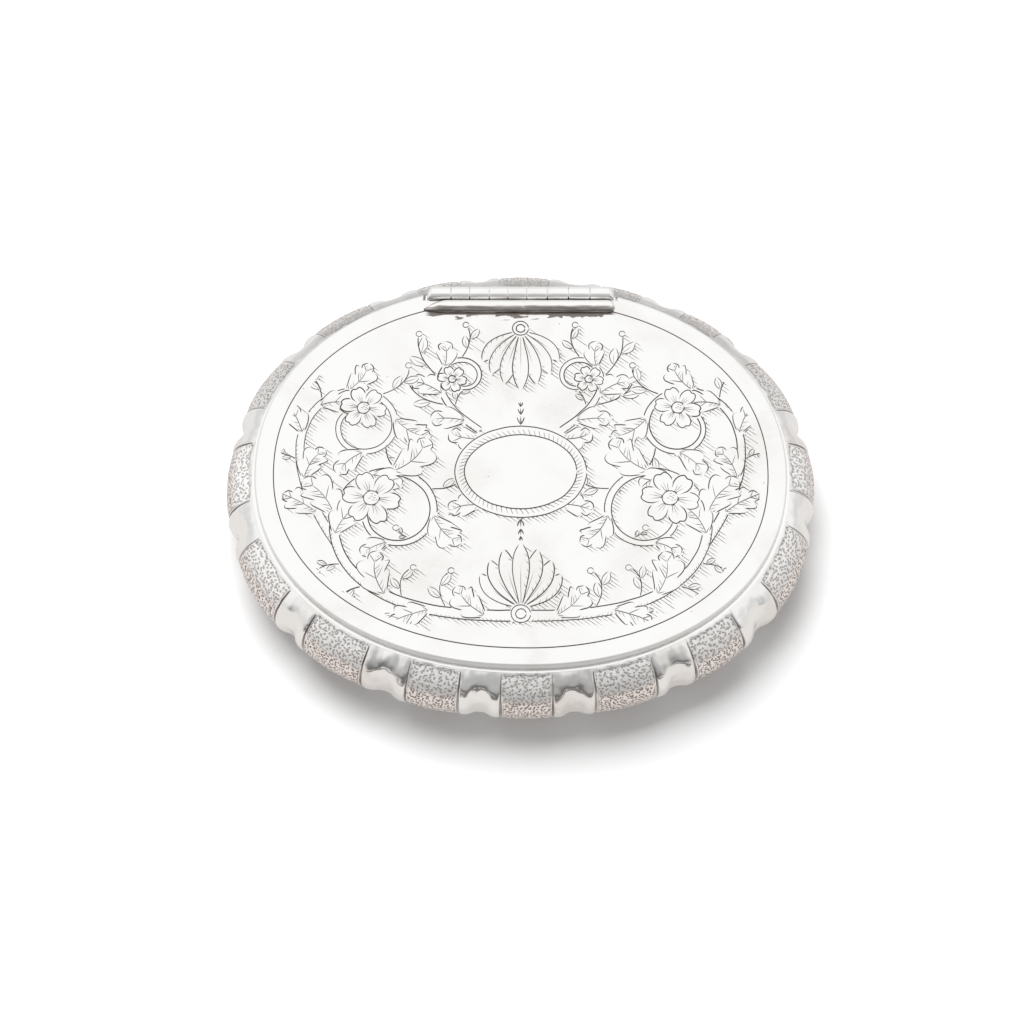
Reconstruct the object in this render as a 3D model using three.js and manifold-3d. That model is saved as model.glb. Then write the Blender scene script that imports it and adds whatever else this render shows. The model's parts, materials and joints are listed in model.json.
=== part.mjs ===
// A flat oval silver box for snuff, with a bombé wall, a hinged lid and a stand-away hinge.
// Millimetres, +Z up. The origin is the middle of the flat underside, and the hinge lies at +Y.
import * as THREE from 'three';
import { mergeVertices } from 'three/addons/utils/BufferGeometryUtils.js';
import Module from 'manifold-3d';

const wasm = await Module();
wasm.setup();

// The lid's edge line is an oval between an ellipse and a rectangle, set a little askew to the hinge.
const lidHalfWidth = 36.05;
const lidHalfDepth = 28.85;
const ovalSquareness = 2.13;
const ovalTurnDegrees = -1.3;

// The wall's section is an arc that starts and ends on the edge line, below the lid and above the base.
const wallRadius = 6.0;
const shoulderDegrees = 70.7;
const wallThickness = 0.8;
const wallFootWidth = 1.2;
const baseThickness = 0.9;
const baseEdgeRadius = 0.5;

// Matted panels stand between plain flutes. Each pair holds a panel's two edges in degrees round the oval,
// laid out by eye by the maker, so no two are quite alike.
const mattedPanels = [
  [-2.5, 11], [21, 35.5], [46, 55], [65, 74],
  [85, 95.5], [104, 113], [124, 137], [147, 161.5],
  [172, 189], [200, 216], [224.5, 238.5], [248, 258.5],
  [267, 277.5], [286, 298.5], [307, 319], [330, 347],
];
const panelCrown = 0.2;
const fluteDepth = 0.7;
const fluteRollHeight = 0.08;
const fluteRollShare = 0.22;
const fullDepthDegrees = 36;
const plainBandDegrees = 2;

// The flat ring round the mouth lies flush in the wall's shoulder and shows past the lid as a thin band.
const rimShow = 0.45;
const rimThickness = 0.8;
const mouthInset = 2.4;
const rimSeatInset = 0.7;

// The lid is a sheet on a wire that stiffens its edge, with a collar below that enters the mouth.
const lidGap = 0.18;
const lidSheet = 0.7;
const lidEdgeRadius = 0.55;
const edgeWireHeight = 0.5;
const edgeWireWidth = 1.5;
const edgeWireRadius = 0.25;
const collarClearance = 0.3;
const collarThickness = 0.5;
const collarReach = 2.0;

// The hinge: nine knuckles of tube, cut to length by hand, on a pin.
const knuckleLengths = [2.7, 2.6, 2.7, 2.6, 2.55, 2.9, 2.9, 3.0, 2.7];
const knuckleSeam = 0.08;
const knuckleEdge = 0.06;
const tubeRadius = 1.0;
const pinRadius = 0.45;
const pinClearance = 0.08;
const pinEndGap = 0.1;
const endCapLength = 0.6;
const endCapShoulder = 0.4;
const endCapShoulderRadius = 0.85;
const endCapTipRadius = 0.55;
const hingeInset = 1.55;
const hingeStripThickness = 0.3;
const hingeStripMargin = 0.25;
const knuckleFootFront = 0.3;
const knuckleFootBack = 0.85;
const knuckleClearance = 0.15;
const lidCutClearance = 0.15;
const lidNotchEndClearance = 0.25;

// The half-round ridge bar covers the lid's cut edge in front of the tube.
const ridgeRadius = 1.0;
const ridgeOverhang = 0.45;
const ridgeTaper = 1.6;
const ridgeTipRadius = 0.3;

// A rounded edge takes up this share of its wall at the most.
const roundingLimit = 0.9;

// How finely the round shapes are cut into faces.
const panelSteps = 4;
const fluteShares = [0, 0.12, 0.3, 0.5, 0.7, 0.88];
const wallArcSteps = 10;
const innerArcSteps = 6;
const plainStations = 72;
const edgeArcSteps = 3;
const tubeSides = 24;
const pinSides = 16;

const silver = { color: 0xdcdad6, roughness: 0.28, metalness: 1.0 };
const warmSilver = { color: 0xd2ccc6, roughness: 0.42, metalness: 1.0 };

// Heights and places that follow from the sizes above.
const shoulder = THREE.MathUtils.degToRad(shoulderDegrees);
const arcInset = wallRadius * Math.cos(shoulder);
const arcTop = Math.acos((rimShow + arcInset) / wallRadius);
const bulgeHeight = baseThickness + wallRadius * Math.sin(shoulder);
const rimTop = bulgeHeight + wallRadius * Math.sin(arcTop);
const rimSeat = rimTop - rimThickness;
const lidUnderside = rimTop + lidGap;
const sheetUnderside = lidUnderside + edgeWireHeight;
const lidTop = sheetUnderside + lidSheet;
const hingeStripTop = rimTop + hingeStripThickness;
const hingeAxisY = lidHalfDepth - hingeInset;
const hingeAxisZ = hingeStripTop + knuckleClearance + tubeRadius;
const tubeLength = knuckleLengths.reduce((sum, length) => sum + length, 0);
const hingeHalfLength = tubeLength / 2 + endCapLength;
const lidCutY = hingeAxisY - tubeRadius - lidCutClearance;

// A point of the lid's edge line and the direction square to it, at an angle round the oval.
function edgeLine(angle) {
  const along = Math.cos(angle);
  const across = Math.sin(angle);
  const powers = Math.abs(along) ** ovalSquareness + Math.abs(across) ** ovalSquareness;
  const reach = powers ** (-1 / ovalSquareness);
  const point = new THREE.Vector2(lidHalfWidth * reach * along, lidHalfDepth * reach * across);
  const steepness = (share) => Math.sign(share) * Math.abs(share) ** (ovalSquareness - 1);
  const outward = new THREE.Vector2(
    steepness(point.x / lidHalfWidth) / lidHalfWidth,
    steepness(point.y / lidHalfDepth) / lidHalfDepth,
  ).normalize();
  const turn = THREE.MathUtils.degToRad(ovalTurnDegrees);
  const middle = new THREE.Vector2();
  return { point: point.rotateAround(middle, turn), outward: outward.rotateAround(middle, turn) };
}

// How far a matted panel stands out, from one edge (share 0) to the other (share 1).
function panelHeight(share) {
  return panelCrown * (1 - (2 * share - 1) ** 2);
}

// How far a flute stands out: a narrow roll at each edge and a broad hollow between them.
function fluteHeight(share) {
  const fromMiddle = Math.abs(2 * share - 1);
  const rollStart = 1 - 2 * fluteRollShare;
  if (fromMiddle > rollStart) {
    return fluteRollHeight * Math.sin(Math.PI * (fromMiddle - rollStart) / (1 - rollStart));
  }
  return -fluteDepth * (1 + Math.cos(Math.PI * fromMiddle / rollStart)) / 2;
}

// The stations round the wall: each has its angle and how far the wall stands out there at the bulge.
function wallStations() {
  const stations = [];
  const addStation = (from, to, share, height) => {
    const degrees = from + (to - from) * share;
    stations.push({ ...edgeLine(THREE.MathUtils.degToRad(degrees)), height });
  };
  mattedPanels.forEach(([from, to], index) => {
    const isLast = index === mattedPanels.length - 1;
    const next = isLast ? mattedPanels[0][0] + 360 : mattedPanels[index + 1][0];
    for (let step = 0; step < panelSteps; step += 1) {
      const share = step / panelSteps;
      addStation(from, to, share, panelHeight(share));
    }
    fluteShares.forEach((share) => addStation(to, next, share, fluteHeight(share)));
  });
  return stations;
}

// Even stations for the plain pieces.
function evenStations(count) {
  return Array.from({ length: count }, (_, index) => {
    const station = edgeLine(2 * Math.PI * index / count);
    return { ...station, height: 0 };
  });
}

// The panels and flutes are at full depth round the bulge and die away just short of the mouth ring, and
// as far from the bulge below it.
function depthShare(lean) {
  const degrees = Math.abs(THREE.MathUtils.radToDeg(lean));
  const endDegrees = THREE.MathUtils.radToDeg(arcTop) - plainBandDegrees;
  return 1 - THREE.MathUtils.smoothstep(degrees, fullDepthDegrees, endDegrees);
}

// A profile point: its distance outside the lid's edge line and its height. The lean is the angle above
// the horizontal in which the panels and flutes push it, where they do.
function spot(offset, height, lean = null) {
  return { offset, height, lean };
}

// A profile point on the upright axis, where a plate's profile starts and ends.
function axisSpot(height) {
  return spot(-lidHalfWidth, height);
}

// A plate's rounded edge: its outermost line lies on the lid's edge line, and side is -1 where it rounds
// the plate's underside from the height given and 1 where it rounds its top.
function roundedEdge(height, wall, radius, side) {
  const rounding = Math.min(radius, roundingLimit * wall);
  const from = side < 0 ? -Math.PI / 2 : 0;
  return Array.from({ length: edgeArcSteps + 1 }, (_, step) => {
    const angle = from + (Math.PI / 2) * step / edgeArcSteps;
    return spot(rounding * (Math.cos(angle) - 1), height + rounding * (Math.sin(angle) - side));
  });
}

// Merges a geometry's shared vertices and drops the faces that have shrunk to a line.
function closedMesh(geometry) {
  geometry.deleteAttribute('normal');
  geometry.deleteAttribute('uv');
  const merged = mergeVertices(geometry);
  const corners = Array.from(merged.index.array);
  const kept = [];
  for (let face = 0; face < corners.length; face += 3) {
    const [a, b, c] = corners.slice(face, face + 3);
    if (a !== b && b !== c && c !== a) {
      kept.push(a, b, c);
    }
  }
  merged.setIndex(kept);
  return merged;
}

// A ring or plate is turned as a round one from its profile, then drawn out to the oval.
function drawnToOval(profile, stations) {
  const turned = new THREE.LatheGeometry(
    profile.map(({ offset, height }) => new THREE.Vector2(lidHalfWidth + offset, height)),
    stations.length,
  );
  const places = turned.attributes.position;
  for (let vertex = 0; vertex < places.count; vertex += 1) {
    const { point, outward, height: push } = stations[Math.floor(vertex / profile.length) % stations.length];
    const { offset, height, lean } = profile[vertex % profile.length];
    const pushed = lean === null ? 0 : push * depthShare(lean);
    const out = offset + pushed * Math.cos(lean ?? 0);
    const up = height + pushed * Math.sin(lean ?? 0);
    const onAxis = offset === -lidHalfWidth;
    places.setXYZ(
      vertex,
      onAxis ? 0 : point.x + out * outward.x,
      onAxis ? 0 : point.y + out * outward.y,
      up,
    );
  }
  return closedMesh(turned);
}

// A closed profile ends where it starts.
function ring(profile, stations) {
  return drawnToOval([...profile, profile[0]], stations);
}

function toSolid(geometry) {
  const mesh = closedMesh(geometry);
  return new wasm.Manifold(new wasm.Mesh({
    numProp: 3,
    vertProperties: Float32Array.from(mesh.attributes.position.array),
    triVerts: Uint32Array.from(mesh.index.array),
  }));
}

function toGeometry(solid) {
  const mesh = solid.getMesh();
  const geometry = new THREE.BufferGeometry();
  geometry.setAttribute('position', new THREE.BufferAttribute(mesh.vertProperties, 3));
  geometry.setIndex(new THREE.BufferAttribute(mesh.triVerts, 1));
  return geometry;
}

// A block between two corners.
function block(low, high) {
  const size = new THREE.Vector3().subVectors(high, low);
  const centre = new THREE.Vector3().addVectors(low, high).multiplyScalar(0.5);
  return new THREE.BoxGeometry(size.x, size.y, size.z).translate(centre.x, centre.y, centre.z);
}

// A bar turned about a line parallel to X. The profile's points are (radius, distance along X).
function turnedBar(points, sides, y, z) {
  const profile = points.map(([radius, along]) => new THREE.Vector2(radius, along));
  return new THREE.LatheGeometry(profile, sides).rotateZ(-Math.PI / 2).translate(0, y, z);
}

// The outline of a plain rod between two places along X.
function rodOutline(radius, from, to) {
  return [[0, from], [radius, from], [radius, to], [0, to]];
}

// The wall: a raised ring of even thickness, rebated at the top for the mouth ring and turned in at the foot.
function wallGeometry() {
  const innerRadius = wallRadius - wallThickness;
  const seatUnderside = rimSeat - wallThickness;
  const footTop = baseThickness + wallThickness;
  const arc = (radius, from, to, steps) => Array.from({ length: steps + 1 }, (_, step) => {
    const lean = from + (to - from) * step / steps;
    return spot(radius * Math.cos(lean) - arcInset, bulgeHeight + radius * Math.sin(lean), lean);
  });
  const innerTop = Math.asin((seatUnderside - bulgeHeight) / innerRadius);
  const innerFoot = Math.asin((footTop - bulgeHeight) / innerRadius);
  const profile = [
    ...arc(wallRadius, -shoulder, arcTop, wallArcSteps),
    spot(rimShow, rimSeat),
    spot(-rimSeatInset, rimSeat),
    spot(-rimSeatInset, seatUnderside),
    ...arc(innerRadius, innerTop, innerFoot, innerArcSteps),
    spot(-wallFootWidth, footTop),
    spot(-wallFootWidth, baseThickness),
  ];
  return ring(profile, wallStations());
}

function baseGeometry() {
  const profile = [
    axisSpot(0),
    ...roundedEdge(0, baseThickness, baseEdgeRadius, -1),
    spot(0, baseThickness),
    axisSpot(baseThickness),
  ];
  return drawnToOval(profile, evenStations(plainStations));
}

function mouthRimGeometry() {
  const profile = [
    spot(-mouthInset, rimSeat),
    spot(rimShow, rimSeat),
    spot(rimShow, rimTop),
    spot(-mouthInset, rimTop),
  ];
  return ring(profile, wallStations());
}

// The notch that clears the tube behind the lid's straight cut.
function lidNotch() {
  const halfLength = hingeHalfLength + lidNotchEndClearance;
  return toSolid(block(
    new THREE.Vector3(-halfLength, lidCutY, 0),
    new THREE.Vector3(halfLength, 2 * lidHalfDepth, 2 * lidTop),
  ));
}

function lidPlateGeometry() {
  const profile = [
    axisSpot(sheetUnderside),
    spot(0, sheetUnderside),
    ...roundedEdge(lidTop, lidSheet, lidEdgeRadius, 1),
    axisSpot(lidTop),
  ];
  return toGeometry(toSolid(drawnToOval(profile, evenStations(plainStations))).subtract(lidNotch()));
}

function lidRimGeometry() {
  const profile = [
    spot(-edgeWireWidth, lidUnderside),
    ...roundedEdge(lidUnderside, edgeWireHeight, edgeWireRadius, -1),
    spot(0, sheetUnderside),
    spot(-edgeWireWidth, sheetUnderside),
  ];
  return toGeometry(toSolid(ring(profile, evenStations(plainStations))).subtract(lidNotch()));
}

function lidCollarGeometry() {
  const outside = -mouthInset - collarClearance;
  const inside = outside - collarThickness;
  const foot = rimTop - collarReach;
  const profile = [
    spot(inside, foot),
    spot(outside, foot),
    spot(outside, sheetUnderside),
    spot(inside, sheetUnderside),
  ];
  return ring(profile, evenStations(plainStations));
}

function hingeStripGeometry() {
  return block(
    new THREE.Vector3(-hingeHalfLength, hingeAxisY - knuckleFootFront - hingeStripMargin, rimTop),
    new THREE.Vector3(hingeHalfLength, hingeAxisY + knuckleFootBack + hingeStripMargin, hingeStripTop),
  );
}

// A knuckle of tube from one place along X to another. Odd ones stand on a foot on the body's strip, and
// even ones reach forward to the lid's cut edge.
function knuckleGeometry(from, to, onBody) {
  const outline = [
    [0, from],
    [tubeRadius - knuckleEdge, from],
    [tubeRadius, from + knuckleEdge],
    [tubeRadius, to - knuckleEdge],
    [tubeRadius - knuckleEdge, to],
    [0, to],
  ];
  const bodyFoot = () => block(
    new THREE.Vector3(from, hingeAxisY - knuckleFootFront, hingeStripTop),
    new THREE.Vector3(to, hingeAxisY + knuckleFootBack, hingeAxisZ),
  );
  const lidWeb = () => block(
    new THREE.Vector3(from, lidCutY, sheetUnderside),
    new THREE.Vector3(to, hingeAxisY, lidTop),
  );
  const bore = turnedBar(
    rodOutline(pinRadius + pinClearance, from - tubeRadius, to + tubeRadius),
    pinSides,
    hingeAxisY,
    hingeAxisZ,
  );
  const tube = toSolid(turnedBar(outline, tubeSides, hingeAxisY, hingeAxisZ));
  return toGeometry(tube.add(toSolid(onBody ? bodyFoot() : lidWeb())).subtract(toSolid(bore)));
}

function hingePinGeometry() {
  const end = tubeLength / 2 - pinEndGap;
  return closedMesh(turnedBar(rodOutline(pinRadius, -end, end), pinSides, hingeAxisY, hingeAxisZ));
}

// The tapered cap that closes an end of the tube. Side is -1 on the left and 1 on the right.
function endCapGeometry(side) {
  const start = tubeLength / 2;
  const tip = start + endCapLength;
  const outline = [
    [0, start],
    [tubeRadius, start],
    [endCapShoulderRadius, start + endCapShoulder],
    [endCapTipRadius, tip],
    [0, tip],
  ];
  const points = side > 0 ? outline : outline.map(([radius, along]) => [radius, -along]).reverse();
  return closedMesh(turnedBar(points, tubeSides, hingeAxisY, hingeAxisZ));
}

// Half of a turned bar with long tapered ends, flat side down on the lid.
function ridgeGeometry() {
  const tip = hingeHalfLength + ridgeOverhang;
  const shoulderAt = tip - ridgeTaper;
  const outline = [
    [0, -tip],
    [ridgeTipRadius, -tip],
    [ridgeRadius, -shoulderAt],
    [ridgeRadius, shoulderAt],
    [ridgeTipRadius, tip],
    [0, tip],
  ];
  const middleY = lidCutY - ridgeRadius;
  const lowerHalf = block(
    new THREE.Vector3(-2 * tip, middleY - 2 * ridgeRadius, lidTop - 2 * ridgeRadius),
    new THREE.Vector3(2 * tip, middleY + 2 * ridgeRadius, lidTop),
  );
  return toGeometry(toSolid(turnedBar(outline, tubeSides, middleY, lidTop)).subtract(toSolid(lowerHalf)));
}

const snuffBox = new THREE.Group();

function addPiece(name, geometry, finish) {
  const piece = new THREE.Mesh(geometry, new THREE.MeshStandardMaterial(finish));
  piece.name = name;
  snuffBox.add(piece);
}

addPiece('base_plate', baseGeometry(), silver);
addPiece('body_wall', wallGeometry(), warmSilver);
addPiece('mouth_rim', mouthRimGeometry(), silver);
addPiece('lid_plate', lidPlateGeometry(), silver);
addPiece('lid_edge_wire', lidRimGeometry(), silver);
addPiece('lid_collar', lidCollarGeometry(), silver);
addPiece('hinge_ridge', ridgeGeometry(), silver);
addPiece('hinge_strip', hingeStripGeometry(), silver);
addPiece('hinge_pin', hingePinGeometry(), silver);
addPiece('hinge_cap_left', endCapGeometry(-1), silver);
addPiece('hinge_cap_right', endCapGeometry(1), silver);

let along = -tubeLength / 2;
knuckleLengths.forEach((length, index) => {
  const from = along + (index === 0 ? 0 : knuckleSeam / 2);
  const to = along + length - (index === knuckleLengths.length - 1 ? 0 : knuckleSeam / 2);
  addPiece(`hinge_knuckle_${index + 1}`, knuckleGeometry(from, to, index % 2 === 0), silver);
  along += length;
});

export default snuffBox;
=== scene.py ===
"""A flat oval silver snuff box with a bombé wall, an engraved lid and a knuckled hinge.

Sizes are in metres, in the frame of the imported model: +X along the hinge, +Y towards it, +Z up.
"""

from __future__ import annotations

import json
import logging
import math
import random
from collections.abc import Callable, Mapping, Sequence
from dataclasses import dataclass, field
from enum import Enum
from typing import Union

import bmesh
import bpy
from mathutils import Matrix, Vector, noise
from mathutils.geometry import delaunay_2d_cdt
from mathutils.kdtree import KDTree


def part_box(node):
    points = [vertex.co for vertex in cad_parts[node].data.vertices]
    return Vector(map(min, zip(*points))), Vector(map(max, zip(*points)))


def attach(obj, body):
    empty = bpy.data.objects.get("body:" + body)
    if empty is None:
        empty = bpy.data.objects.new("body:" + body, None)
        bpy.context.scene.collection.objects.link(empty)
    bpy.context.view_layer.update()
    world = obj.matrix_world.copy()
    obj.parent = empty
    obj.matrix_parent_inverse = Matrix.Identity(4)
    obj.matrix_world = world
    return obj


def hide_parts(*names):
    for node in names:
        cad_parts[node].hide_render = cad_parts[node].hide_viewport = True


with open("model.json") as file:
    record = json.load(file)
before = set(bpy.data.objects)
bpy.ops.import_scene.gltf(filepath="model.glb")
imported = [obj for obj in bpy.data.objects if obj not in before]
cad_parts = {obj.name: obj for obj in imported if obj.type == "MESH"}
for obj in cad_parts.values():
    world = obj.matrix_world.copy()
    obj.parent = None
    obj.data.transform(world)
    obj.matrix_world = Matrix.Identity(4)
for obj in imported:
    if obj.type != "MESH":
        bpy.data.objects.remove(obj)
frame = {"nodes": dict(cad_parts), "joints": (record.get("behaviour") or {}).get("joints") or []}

LOG = logging.getLogger("snuff_box")
MM = 0.001
SAME_PLACE = 0.0005 * MM
UP = Vector((0.0, 0.0, 1.0))
FRONT = Vector((0.0, -1.0, 0.0))


class Body(Enum):
    """The two bodies that the hinge joins."""

    BOX = "box"
    LID = "lid"


class Slot(Enum):
    """The record's material slots."""

    LID = "lid_silver"
    WALL = "wall_silver"
    RIM = "rim_silver"
    HINGE = "hinge_silver"
    BASE = "base_silver"


class Zone(Enum):
    """What a station round the wall lies on."""

    PANEL = "matted panel"
    FLUTE = "plain flute"
    LINE = "cut line"


Pair = tuple[float, float]
Colour = tuple[float, float, float]
Operand = Union["Signal", float, Colour, Vector]
Three = tuple["Signal", "Signal", "Signal"]
Profile = Sequence[Pair]
Mesh = bmesh.types.BMesh
Path = list[Vector]
Growth = tuple[float, float, float, float]


def smooth_step(value: float, low: float, high: float) -> float:
    """Rises smoothly from 0 at low to 1 at high."""
    share = min(1.0, max(0.0, (value - low) / (high - low)))
    return share * share * (3.0 - 2.0 * share)


# Shader building


@dataclass(frozen=True)
class Signal:
    """An output socket. Arithmetic on it adds Math nodes."""

    shader: Shader
    socket: bpy.types.NodeSocket

    def _math(self, operation: str, first: Operand, second: Operand) -> Signal:
        """Adds one Math node on two operands."""
        return self.shader.add("Math", {"operation": operation}, {0: first, 1: second})

    def __add__(self, other: Operand) -> Signal:
        """Self plus other."""
        return self._math("ADD", self, other)

    def __radd__(self, other: Operand) -> Signal:
        """Other plus self."""
        return self._math("ADD", other, self)

    def __sub__(self, other: Operand) -> Signal:
        """Self less other."""
        return self._math("SUBTRACT", self, other)

    def __rsub__(self, other: Operand) -> Signal:
        """Other less self."""
        return self._math("SUBTRACT", other, self)

    def __mul__(self, other: Operand) -> Signal:
        """Self times other."""
        return self._math("MULTIPLY", self, other)

    def __rmul__(self, other: Operand) -> Signal:
        """Other times self."""
        return self._math("MULTIPLY", other, self)

    def __truediv__(self, other: Operand) -> Signal:
        """Self divided by other."""
        return self._math("DIVIDE", self, other)

    def cosine(self) -> Signal:
        """The cosine of this angle."""
        return self._math("COSINE", self, 0.0)

    def sine(self) -> Signal:
        """The sine of this angle."""
        return self._math("SINE", self, 0.0)

    def distance_from(self, value: float) -> Signal:
        """How far this value is from another, without its sign."""
        return self._math("ABSOLUTE", self - value, 0.0)

    def at_least(self, other: Operand) -> Signal:
        """The larger of two values."""
        return self._math("MAXIMUM", self, other)


class Shader:
    """A node tree that is built up node by node."""

    COLOUR_OUTPUT = 2
    COLOUR_A = 6
    COLOUR_B = 7

    def __init__(self, tree: bpy.types.NodeTree) -> None:
        """Starts with an emptied node tree."""
        tree.nodes.clear()
        self.tree = tree

    def node(
        self,
        kind: str,
        settings: Mapping[str, object],
        sockets: Mapping[int | str, Operand],
    ) -> bpy.types.Node:
        """Adds a node.

        Args:
            kind: the node's Blender type, less its first words, ShaderNode.
            settings: its own settings, such as a Math node's operation, which are set first.
            sockets: the values or links of its inputs, by number or name.

        Returns:
            The new node.
        """
        node = self.tree.nodes.new(f"ShaderNode{kind}")
        for name, value in settings.items():
            setattr(node, name, value)
        for key, value in sockets.items():
            if isinstance(value, Signal):
                self.tree.links.new(value.socket, node.inputs[key])
            else:
                node.inputs[key].default_value = value
        return node

    def add(
        self,
        kind: str,
        settings: Mapping[str, object] | None = None,
        sockets: Mapping[int | str, Operand] | None = None,
        output: int | str = 0,
    ) -> Signal:
        """Adds a node, as node() does, and returns one of its outputs."""
        return Signal(self, self.node(kind, settings or {}, sockets or {}).outputs[output])

    def place(self) -> Signal:
        """The point on the object, in metres."""
        return self.add("TexCoord", output="Object")

    def ray(self, kind: str) -> Signal:
        """Whether the ray is of a kind, such as "Is Camera Ray"."""
        return self.add("LightPath", output=kind)

    def attribute(self, name: str, output: str = "Fac") -> Signal:
        """A number, or with "Vector" a place, that the mesh holds at each vertex."""
        return self.add("Attribute", {"attribute_name": name}, output=output)

    def stretched(self, place: Signal, turn: float, scale: Sequence[float]) -> Signal:
        """The place turned about Z and then scaled, which stretches a pattern."""
        turned = self.add("Mapping", {}, {"Vector": place, "Rotation": (0.0, 0.0, turn)})
        return self.add("Mapping", {}, {"Vector": turned, "Scale": tuple(scale)})

    def shifted(self, place: Signal, shift: Sequence[float]) -> Signal:
        """The place moved, so that two patterns differ."""
        return self.add("Mapping", {}, {"Vector": place, "Location": tuple(shift)})

    def noise(self, place: Signal, size: float, detail: float = 2.0, distortion: float = 0.0) -> Signal:
        """A noise pattern whose blotches are about size metres across, from 0 to 1."""
        sockets = {"Vector": place, "Scale": 1.0 / size, "Detail": detail, "Distortion": distortion}
        return self.add("TexNoise", {}, sockets)

    def cells(self, place: Signal, size: float) -> Signal:
        """The distance to the nearest of scattered points about size metres apart, in such sizes."""
        return self.add("TexVoronoi", {}, {"Vector": place, "Scale": 1.0 / size})

    def mirrored(self) -> Signal:
        """Whether the ray comes by way of a mirroring or clear surface."""
        return self.ray("Is Glossy Ray").at_least(self.ray("Is Transmission Ray"))

    def rise(self, value: Operand, low: float, high: float, start: float = 0.0, end: float = 1.0) -> Signal:
        """Goes smoothly from start, where value is low, to end, where it is high."""
        sockets = {"Value": value, "From Min": low, "From Max": high, "To Min": start, "To Max": end}
        return self.add("MapRange", {"interpolation_type": "SMOOTHSTEP"}, sockets)

    def blend(self, share: Operand, first: Operand, second: Operand) -> Signal:
        """A colour between two, from the first at a share of 0 to the second at 1."""
        colours = [value if isinstance(value, Signal) else (*value, 1.0) for value in (first, second)]
        sockets = {"Factor": share, self.COLOUR_A: colours[0], self.COLOUR_B: colours[1]}
        return self.add("Mix", {"data_type": "RGBA"}, sockets, self.COLOUR_OUTPUT)

    def parts(self, vector: Signal) -> Three:
        """A vector's three numbers."""
        node = self.node("SeparateXYZ", {}, {0: vector})
        return tuple(Signal(self, output) for output in node.outputs)

    def relief(self, height: Signal, depth: float, normal: Signal | None = None) -> Signal:
        """The normal of a surface with a relief on it.

        Args:
            height: the relief, 1 for a step of one depth.
            depth: that depth in metres.
            normal: the normal under it, where another relief comes first.

        Returns:
            The new normal.
        """
        sockets = {"Height": height, "Distance": depth, "Strength": 1.0}
        if normal is not None:
            sockets["Normal"] = normal
        return self.add("Bump", {}, sockets)


# Finishes


@dataclass(frozen=True)
class Silver:
    """Old hand-polished silver: soft waves, warm tarnish in patches, and sets of scratches (turn, shift)."""

    name: str = "old_silver"
    metal: Colour = (0.95, 0.945, 0.93)
    tarnish: Colour = (0.62, 0.53, 0.46)
    tarnish_share: float = 0.35
    tarnish_size: float = 9.0 * MM
    tarnish_edge: Pair = (0.42, 0.74)
    mottle_size: float = 0.7 * MM
    dark: Colour = (0.15, 0.115, 0.09)
    roughness: float = 0.16
    dull_roughness: float = 0.34
    wave_size: float = 5.0 * MM
    wave_depth: float = 0.02 * MM
    scratch_ways: tuple[Pair, ...] = ((0.5, 3.0 * MM), (1.9, 7.0 * MM), (-0.7, 5.0 * MM))
    scratch_stretch: float = 0.04
    scratch_spacing: float = 0.12 * MM
    scratch_depth: float = 0.0012 * MM

    def material(self) -> bpy.types.Material:
        """Builds the finish as a material.

        Returns:
            The material.
        """
        material = bpy.data.materials.new(self.name)
        material.use_nodes = True
        shader = Shader(material.node_tree)
        place = shader.place()
        colour, roughness, normal = self.surface(shader, place)
        metallic = self.metallic(shader, place)
        sockets = {"Base Color": colour, "Roughness": roughness, "Normal": normal, "Metallic": metallic}
        metal = shader.add("BsdfPrincipled", {}, sockets)
        shader.node("OutputMaterial", {}, {"Surface": metal})
        return material

    def surface(self, shader: Shader, place: Signal) -> Three:
        """Works out the colour, roughness and normal over the surface.

        Args:
            shader: the tree that takes the nodes.
            place: the point on the object.

        Returns:
            The colour, the roughness and the normal.
        """
        film = self.film(shader, place)
        colour = shader.blend(film, self.metal, self.tarnish)
        roughness = shader.rise(film, 0.0, 1.0, self.roughness, self.dull_roughness)
        return colour, roughness, self.handwork(shader, place)

    def metallic(self, shader: Shader, place: Signal) -> Operand:
        """How far the surface mirrors as bare metal does. Bare silver does so fully."""
        return 1.0

    def film(self, shader: Shader, place: Signal) -> Signal:
        """The share of the tarnish film, which lies in soft patches with a fine mottle."""
        patches = shader.rise(shader.noise(place, self.tarnish_size, 3.0, 0.4), *self.tarnish_edge)
        mottle = shader.rise(shader.noise(place, self.mottle_size, 3.0), 0.3, 0.8, 0.6, 1.0)
        return patches * mottle * self.tarnish_share

    def handwork(self, shader: Shader, place: Signal) -> Signal:
        """The normal with the planishing hammer's soft waves and fine scratches of wear."""
        normal = shader.relief(shader.noise(place, self.wave_size, 1.0), self.wave_depth)
        for turn, shift in self.scratch_ways:
            moved = shader.shifted(place, (shift, 0.0, 0.0))
            long_way = shader.stretched(moved, turn, (self.scratch_stretch, 1.0, 1.0))
            scratches = shader.rise(shader.noise(long_way, self.scratch_spacing, 1.0), 0.55, 0.75)
            normal = shader.relief(scratches, self.scratch_depth, normal)
        return normal


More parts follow.
